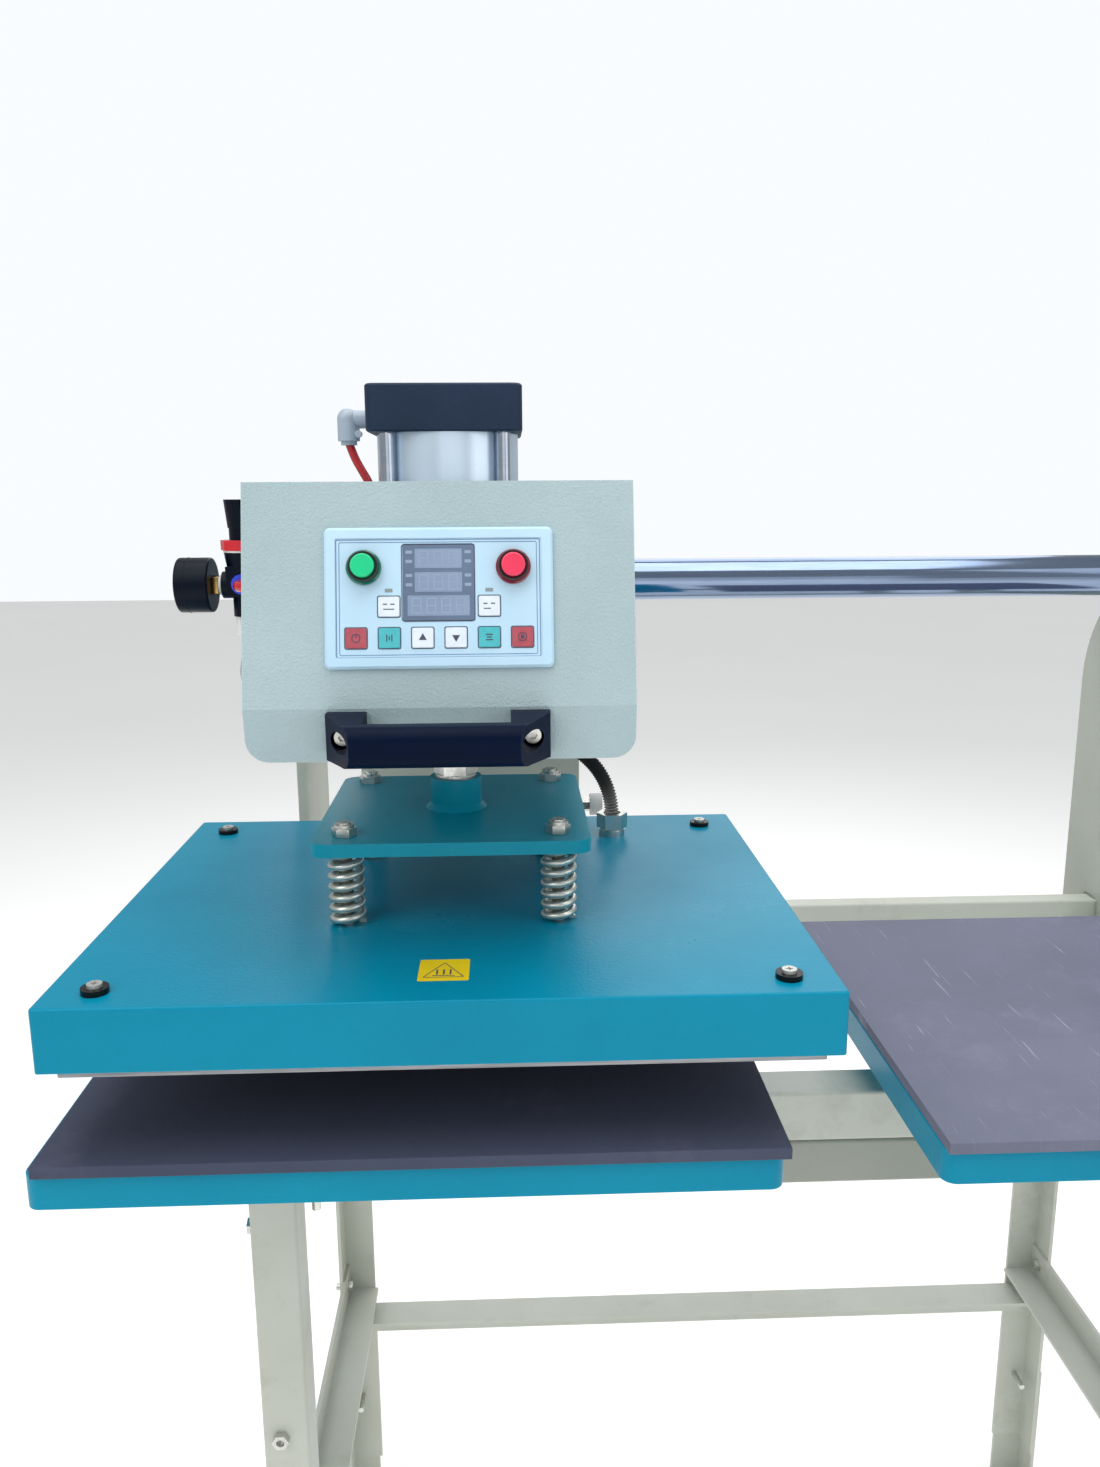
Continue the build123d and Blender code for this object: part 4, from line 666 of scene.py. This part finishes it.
def addSlab(name, x, s, width, height, low, high, corner=0.0):
    # a flat plate on the face; x, s, width, height and corner in millimetres
    deselect()
    bpy.ops.mesh.primitive_plane_add(size=1, location=onFace(x, s, low), rotation=faceMatrix.to_euler())
    slab = named(name, (width / 1000, height / 1000, 1))
    if corner:
        bpy.ops.object.mode_set(mode="EDIT")
        bpy.ops.mesh.select_all(action="SELECT")
        bpy.ops.mesh.bevel(offset=corner / 1000, segments=5, affect="VERTICES")
        bpy.ops.object.mode_set(mode="OBJECT")
    applyModifier(slab, "SOLIDIFY", thickness=high - low, offset=1.0)
    return slab


def addOutline(name, x, s, width, height, line, corner, low, thick):
    # a printed line round a rectangle
    deselect()
    bpy.ops.mesh.primitive_plane_add(size=1, location=onFace(x, s, low), rotation=faceMatrix.to_euler())
    outline = named(name, (width / 1000, height / 1000, 1))
    bpy.ops.object.mode_set(mode="EDIT")
    bpy.ops.mesh.select_all(action="SELECT")
    bpy.ops.mesh.bevel(offset=corner / 1000, segments=5, affect="VERTICES")
    bpy.ops.mesh.inset(thickness=line / 1000)
    bpy.ops.mesh.delete(type="FACE")
    bpy.ops.object.mode_set(mode="OBJECT")
    applyModifier(outline, "SOLIDIFY", thickness=thick, offset=1.0)
    return outline


overlay = printed["overlay"]
ink = printed["ink"]
borders = [addOutline("border", -0.4, 76.2, width, height, line, 1.2, overlay, ink)
           for width, height, line in ((130.4, 76.0, 0.55), (126.4, 72.6, 0.45))]
settle(joinPieces(borders, "panelBorders"), "head", "inkLine")

keyLayout = {"pitch": 21.2, "row": 101.5, "width": 13.5, "height": 12.8, "modeX": 32.0, "modeRow": 81.4}
keySpots = [(keyLayout["pitch"] * (column - 2.5), keyLayout["row"]) for column in range(6)]
keySpots += [(-keyLayout["modeX"], keyLayout["modeRow"]), (keyLayout["modeX"], keyLayout["modeRow"])]
ringWidth = keyLayout["width"] + 1.5
ringHeight = keyLayout["height"] + 1.5
rings = [addOutline("keyRing", x, s, ringWidth, ringHeight, 0.42, 1.4, overlay, ink) for x, s in keySpots]
settle(joinPieces(rings, "keyOutlines"), "head", "inkDark")

# arrows on the two middle keys
arrow = {"radius": 0.0029, "thick": 0.00015, "rise": 0.0041}
for keyName, x, turn in (("key_3", keySpots[2][0], 0), ("key_4", keySpots[3][0], math.pi)):
    deselect()
    tilt = (faceMatrix @ Matrix.Rotation(turn, 4, "Z")).to_euler()
    bpy.ops.mesh.primitive_circle_add(vertices=3, radius=arrow["radius"], fill_type="NGON",
                                      location=onFace(x, keyLayout["row"], arrow["rise"]), rotation=tilt)
    mark = named(keyName.replace("_", "") + "Arrow")
    applyModifier(mark, "SOLIDIFY", thickness=arrow["thick"], offset=0.0)
    settle(mark, keyName, "inkDark")

keyMarks = {  # x, s, width, height of each stroke, in millimetres from the key's middle
    "key_1": [(0, -1.4, 0.7, 2.4)],
    "key_2": [(-1.6, 0, 0.7, 4.4), (1.6, 0, 0.7, 4.4), (0, 0, 0.7, 2.6)],
    "key_5": [(0, -1.7, 4.6, 0.7), (0, 0, 3.2, 0.7), (0, 1.7, 4.6, 0.7)],
    "key_6": [(0, 0, 2.2, 2.2)],
    "key_mode_left": [(-2.4, -1.5, 2.6, 0.7), (2.4, -1.5, 2.6, 0.7), (0, 1.7, 7.0, 0.6)],
    "key_mode_right": [(-2.4, -1.5, 2.6, 0.7), (2.4, -1.5, 2.6, 0.7), (-1.2, 1.7, 4.6, 0.6)],
}
ringedKeys = ("key_1", "key_6")
keyNames = ["key_" + label for label in ("1", "2", "3", "4", "5", "6", "mode_left", "mode_right")]
keyPlaces = dict(zip(keyNames, keySpots))
keyTop = 0.0041
for keyName, strokes in keyMarks.items():
    x, s = keyPlaces[keyName]
    parts = [addSlab("stroke", x + dx, s + ds, width, height, keyTop, keyTop + 0.00012)
             for dx, ds, width, height in strokes]
    if keyName in ringedKeys:
        parts.append(addOutline("ring", x, s, 5.6, 5.6, 0.6, 2.4, keyTop, 0.00012))
    settle(joinPieces(parts, keyName.replace("_", "") + "Mark"), keyName, "inkDark")

# unlit display: three windows of figures and the small lamps beside them
glassFace = 0.0034
plateFace = glassFace + 0.00006
figureTop = glassFace + 0.00011
windows = [(-0.3, 50.6, 30.0, 12.4, 3), (-0.3, 65.8, 30.2, 12.6, 3), (-0.3, 80.9, 39.6, 13.0, 4)]
plates = [addSlab("window", x, s, width, height, glassFace, plateFace, 0.6)
          for x, s, width, height, count in windows]
settle(joinPieces(plates, "displayWindows"), "head", "digitWindow")
digit = {"width": 6.4, "height": 10.2, "line": 0.9, "corner": 1.0, "gap": 9.4}
figures = []
for x, s, width, height, count in windows:
    for place in range(count):
        spot = x + (place - (count - 1) / 2) * digit["gap"]
        figures.append(addOutline("figure", spot, s, digit["width"], digit["height"], digit["line"],
                                  digit["corner"], plateFace, figureTop - plateFace))
        figures.append(addSlab("bar", spot, s, digit["width"] - 1.8, 0.8, plateFace, figureTop))
        figures.append(addSlab("point", spot + 4.3, s + 4.6, 0.8, 0.8, plateFace, figureTop, 0.3))
for s in (46.5, 52.5, 61.5, 67.5):
    for x in (-19.0, 18.6):
        figures.append(addSlab("lamp", x, s, 4.2, 2.0, glassFace, glassFace + 0.00005, 0.3))
settle(joinPieces(figures, "displayFigures"), "head", "digitGhost")
frameRing = addOutline("displayEdge", -0.4, 66.15, 47.0, 50.0, 0.55, 2.2, overlay, 0.0003)
settle(frameRing, "head", "inkDark")

modeLamps = [addSlab("lamp", side * keyLayout["modeX"], 71.0, 4.8, 2.2, overlay, overlay + 0.0003, 0.3)
             for side in (-1, 1)]
settle(joinPieces(modeLamps, "modeLamps"), "head", "lampGrey")

# black sleeves between each button and its ring
sleeve = {"x": 47.6, "s": 56.5, "outer": 0.0096, "inner": 0.0078, "low": 0.0070, "high": 0.0118}
for side, label in ((-1, "start"), (1, "stop")):
    base = onFace(side * sleeve["x"], sleeve["s"], sleeve["low"])
    top = onFace(side * sleeve["x"], sleeve["s"], sleeve["high"])
    collar = addRod(label + "Sleeve", base, top, sleeve["outer"], 40)
    selectFaces(collar, capsRod)
    bpy.ops.mesh.inset(thickness=sleeve["outer"] - sleeve["inner"])
    bpy.ops.mesh.bridge_edge_loops()
    bpy.ops.object.mode_set(mode="OBJECT")
    bevelSharp(collar, 0.0003)
    settle(collar, "head", "ringBlack")
print("panel printed")


# ---- generic hot-surface sticker on the platen

sticker = {"x": -0.2814, "y": -0.376, "width": 0.034, "depth": 0.035, "thick": 0.00015, "corner": 0.0015}
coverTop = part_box("platen_cover")[1].z
deselect()
bpy.ops.mesh.primitive_plane_add(size=1, location=(sticker["x"], sticker["y"], coverTop))
patch = named("platenSticker", (sticker["width"], sticker["depth"], 1))
bpy.ops.object.mode_set(mode="EDIT")
bpy.ops.mesh.select_all(action="SELECT")
bpy.ops.mesh.bevel(offset=sticker["corner"], segments=4, affect="VERTICES")
bpy.ops.object.mode_set(mode="OBJECT")
applyModifier(patch, "SOLIDIFY", thickness=sticker["thick"], offset=1.0)
settle(patch, "platen", "stickerYellow")
markTop = coverTop + sticker["thick"]
deselect()
bpy.ops.mesh.primitive_circle_add(vertices=3, radius=0.0165, fill_type="NGON",
                                  location=(sticker["x"], sticker["y"] - 0.004, markTop))
triangle = named("triangle")
bpy.ops.object.mode_set(mode="EDIT")
bpy.ops.mesh.select_all(action="SELECT")
bpy.ops.mesh.bevel(offset=0.002, segments=3, affect="VERTICES")
bpy.ops.mesh.inset(thickness=0.0007)
bpy.ops.mesh.delete(type="FACE")
bpy.ops.object.mode_set(mode="OBJECT")
applyModifier(triangle, "SOLIDIFY", thickness=0.00008, offset=1.0)
marks = [triangle]
for step in (-1, 0, 1):
    x = sticker["x"] + step * 0.0045
    marks.append(addBlock("stroke", (x - 0.0006, sticker["y"] - 0.0075, markTop),
                          (x + 0.0006, sticker["y"] + 0.0005, markTop + 0.00008)))
marks.append(addBlock("stroke", (sticker["x"] - 0.0075, sticker["y"] - 0.0098, markTop),
                      (sticker["x"] + 0.0075, sticker["y"] - 0.0088, markTop + 0.00008)))
settle(joinPieces(marks, "stickerMark"), "platen", "inkDark")


# ---- gauge face, lens and back boss

gauge = {"y": -0.234, "z": 1.29, "sink": 0.004, "length": 0.0247}
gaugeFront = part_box("pressure_gauge")[0].x
gaugeBack = gaugeFront + gauge["length"]
dialX = gaugeFront + gauge["sink"]


def addDisc(name, start, end, radius, sides, bevel, finish):
    # round piece along the gauge's axis, from one x to another
    disc = addRod(name, (start, gauge["y"], gauge["z"]), (end, gauge["y"], gauge["z"]), radius, sides, bevel)
    return settle(disc, "head", finish)


addDisc("gaugeDial", dialX, dialX - 0.0006, 0.0172, 48, 0.0002, "dialWhite")
tickMark = {"count": 20, "outer": 0.0158, "long": 0.0034, "short": 0.0018, "radius": 0.00028}
centre = Vector((dialX - 0.00066, gauge["y"], gauge["z"]))
ticks = []
for step in range(tickMark["count"] + 1):
    angle = math.radians(225 - 270 * step / tickMark["count"])
    length = tickMark["long"] if step % 4 == 0 else tickMark["short"]
    direction = Vector((0, -math.cos(angle), math.sin(angle)))
    outer = centre + direction * tickMark["outer"]
    ticks.append(addRod("tick", outer, outer - direction * length, tickMark["radius"], 4))
settle(joinPieces(ticks, "gaugeTicks"), "head", "inkDark")
addDisc("gaugeLens", gaugeFront + 0.0014, gaugeFront + 0.0006, 0.0176, 48, 0.0002, "lensClear")
addDisc("gaugeSeam", gaugeFront + 0.0072, gaugeFront + 0.0078, 0.0206, 56, 0.0002,
        "blackPlastic")
bossHalf = 0.0062
boss = addBlock("gaugeBoss", (gaugeBack, gauge["y"] - bossHalf, gauge["z"] - bossHalf),
                (gaugeBack + 0.005, gauge["y"] + bossHalf, gauge["z"] + bossHalf), bevel=0.0008)
settle(boss, "head", "brassFitting")
addDisc("gaugeNipple", gaugeBack + 0.005, gaugeBack + 0.0092, 0.0074, 32, 0.0006, "dialWhite")
regulatorX = -0.428
creamRing = addRod("regulatorRing", (regulatorX, gauge["y"], 1.3141), (regulatorX, gauge["y"], 1.3157),
                   0.0175, 40, bevel=0.0004)
settle(creamRing, "head", "dialWhite")
print("gauge finished")


# ---- small fastenings that the bodies carry

def addSet(name, spots, facing, radius, height, body, finish, sides=24, recess=0.45, depth=0.5):
    heads = [addHead("head", spot, facing, radius, height, sides, recess, depth) for spot in spots]
    return settle(joinPieces(heads, name), body, finish)


headX = face["centreX"]
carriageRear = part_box("carriage_plate")[1].y
bearingSpots = [(headX + side * 0.085 + dx, carriageRear, 1.27 + dz)
                for side in (-1, 1) for dx in (-0.02, 0.02) for dz in (-0.03, 0.03)]
addSet("bearingBolts", bearingSpots, (0, 1, 0), 0.0065, 0.006, "head", "zincPlate")
shelfSpots = [(headX + dx, carriageRear, 0.92) for dx in (-0.025, 0.025)]
addSet("bracketBolts", shelfSpots, (0, 1, 0), 0.0055, 0.005, "head", "zincPlate")
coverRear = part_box("rear_cover")[1].y
coverSpots = [(headX + dx, coverRear, z) for dx in (-0.112, 0.112) for z in (1.213, 1.35)]
addSet("rearCoverScrews", coverSpots, (0, 1, 0), 0.004, 0.0022, "head", "zincPlate")
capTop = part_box("cylinder_caps")[1].z
pressY = -0.205
capSpots = [(headX + dx, pressY + dy, capTop - 0.0008) for dx in (-0.042, 0.042) for dy in (-0.042, 0.042)]
addSet("tieRodEnds", capSpots, (0, 0, 1), 0.0078, 0.0012, "head", "zincPlate", depth=0.6)

# rubber feet of the travel stops
stop = {"x": 0.12, "y": 0.131, "z": 1.016, "radius": 0.01225}
for side, label in ((-1, "left"), (1, "right")):
    ends = [(headX + side * (stop["x"] + reach), stop["y"], stop["z"]) for reach in (0.0255, 0.0122)]
    foot = addRod(label + "StopFoot", ends[0], ends[1], stop["radius"], 40, bevel=0.0006)
    settle(foot, "head", "rubberFoot")

# grommet round the conduit's hole
entry = conduitRun["route"][-1]
deselect()
bpy.ops.mesh.primitive_torus_add(location=(entry[0], entry[1], boxFloor), major_radius=0.0104,
                                 minor_radius=0.0019, major_segments=40, minor_segments=12)
grommet = named("conduitGrommet")
bpy.ops.object.mode_set(mode="EDIT")
bpy.ops.mesh.select_all(action="SELECT")
bpy.ops.transform.resize(value=(1, 1, 1.3))
bpy.ops.object.mode_set(mode="OBJECT")
settle(grommet, "head", "conduitBlack", smooth=60)
print("fastenings placed")


# ---- floor, light, camera

deselect()
bpy.ops.mesh.primitive_plane_add(size=30)
floor = named("floor")
floor.data.materials.append(finishes["floorPale"])

lamps = {
    "key": {"at": (-2.4, -2.6, 3.4), "aim": (-0.1, -0.1, 0.9), "size": 2.6, "power": 46},
    "fill": {"at": (3.0, -2.2, 2.4), "aim": (0.1, 0.0, 0.9), "size": 2.8, "power": 22},
    "rear": {"at": (0.3, 2.6, 3.2), "aim": (0.0, 0.0, 1.0), "size": 3.0, "power": 45},
    "top": {"at": (-0.1, -0.7, 4.1), "aim": (-0.1, -0.3, 0.9), "size": 3.2, "power": 82},
    "low": {"at": (0.2, -3.2, 0.7), "aim": (0.0, 0.0, 0.6), "size": 2.2, "power": 8},
}
for lampName, lamp in lamps.items():
    light = bpy.data.lights.new(lampName, "AREA")
    light.shape = "SQUARE"
    light.size = lamp["size"]
    light.energy = lamp["power"]
    lightObject = bpy.data.objects.new(lampName, light)
    lightObject.location = lamp["at"]
    ray = Vector(lamp["aim"]) - Vector(lamp["at"])
    lightObject.rotation_euler = ray.to_track_quat("-Z", "Y").to_euler()
    bpy.context.collection.objects.link(lightObject)

world = bpy.data.worlds.new("studio")
world.use_nodes = True
backdrop = world.node_tree.nodes["Background"]
backdrop.inputs["Color"].default_value = (0.95, 0.975, 1.0, 1.0)
rays = addNode(world.node_tree, "LightPath")  # white to look at, softer as a light
glow = rangeOf(world.node_tree, rays.outputs["Is Camera Ray"], 0.0, 1.0, 0.42, 1.0)
world.node_tree.links.new(glow, backdrop.inputs["Strength"])
bpy.context.scene.world = world
bpy.context.scene.view_settings.view_transform = "Standard"
bpy.context.scene.view_settings.look = "None"

viewpoint = {"at": (-0.2349, -1.0902, 1.3509), "yaw": 2.071, "pitch": 11.715, "roll": -0.362, "lens": 27.69}
yaw, pitch, roll = (math.radians(viewpoint[key]) for key in ("yaw", "pitch", "roll"))
ahead = Vector((math.sin(yaw) * math.cos(pitch), math.cos(yaw) * math.cos(pitch), -math.sin(pitch)))
right = Vector((math.cos(yaw), -math.sin(yaw), 0))
up = right.cross(ahead)
rightRolled = right * math.cos(roll) + up * math.sin(roll)
upRolled = up * math.cos(roll) - right * math.sin(roll)
cameraData = bpy.data.cameras.new("viewpoint")
cameraData.sensor_fit = "VERTICAL"
cameraData.sensor_height = 36.0
cameraData.lens = viewpoint["lens"]
cameraData.clip_start = 0.02
cameraObject = bpy.data.objects.new("viewpoint", cameraData)
cameraObject.matrix_world = Matrix.Translation(viewpoint["at"]) @ Matrix(
    (rightRolled, upRolled, -ahead)).transposed().to_4x4()
bpy.context.collection.objects.link(cameraObject)
bpy.context.scene.camera = cameraObject
print("stage lit")
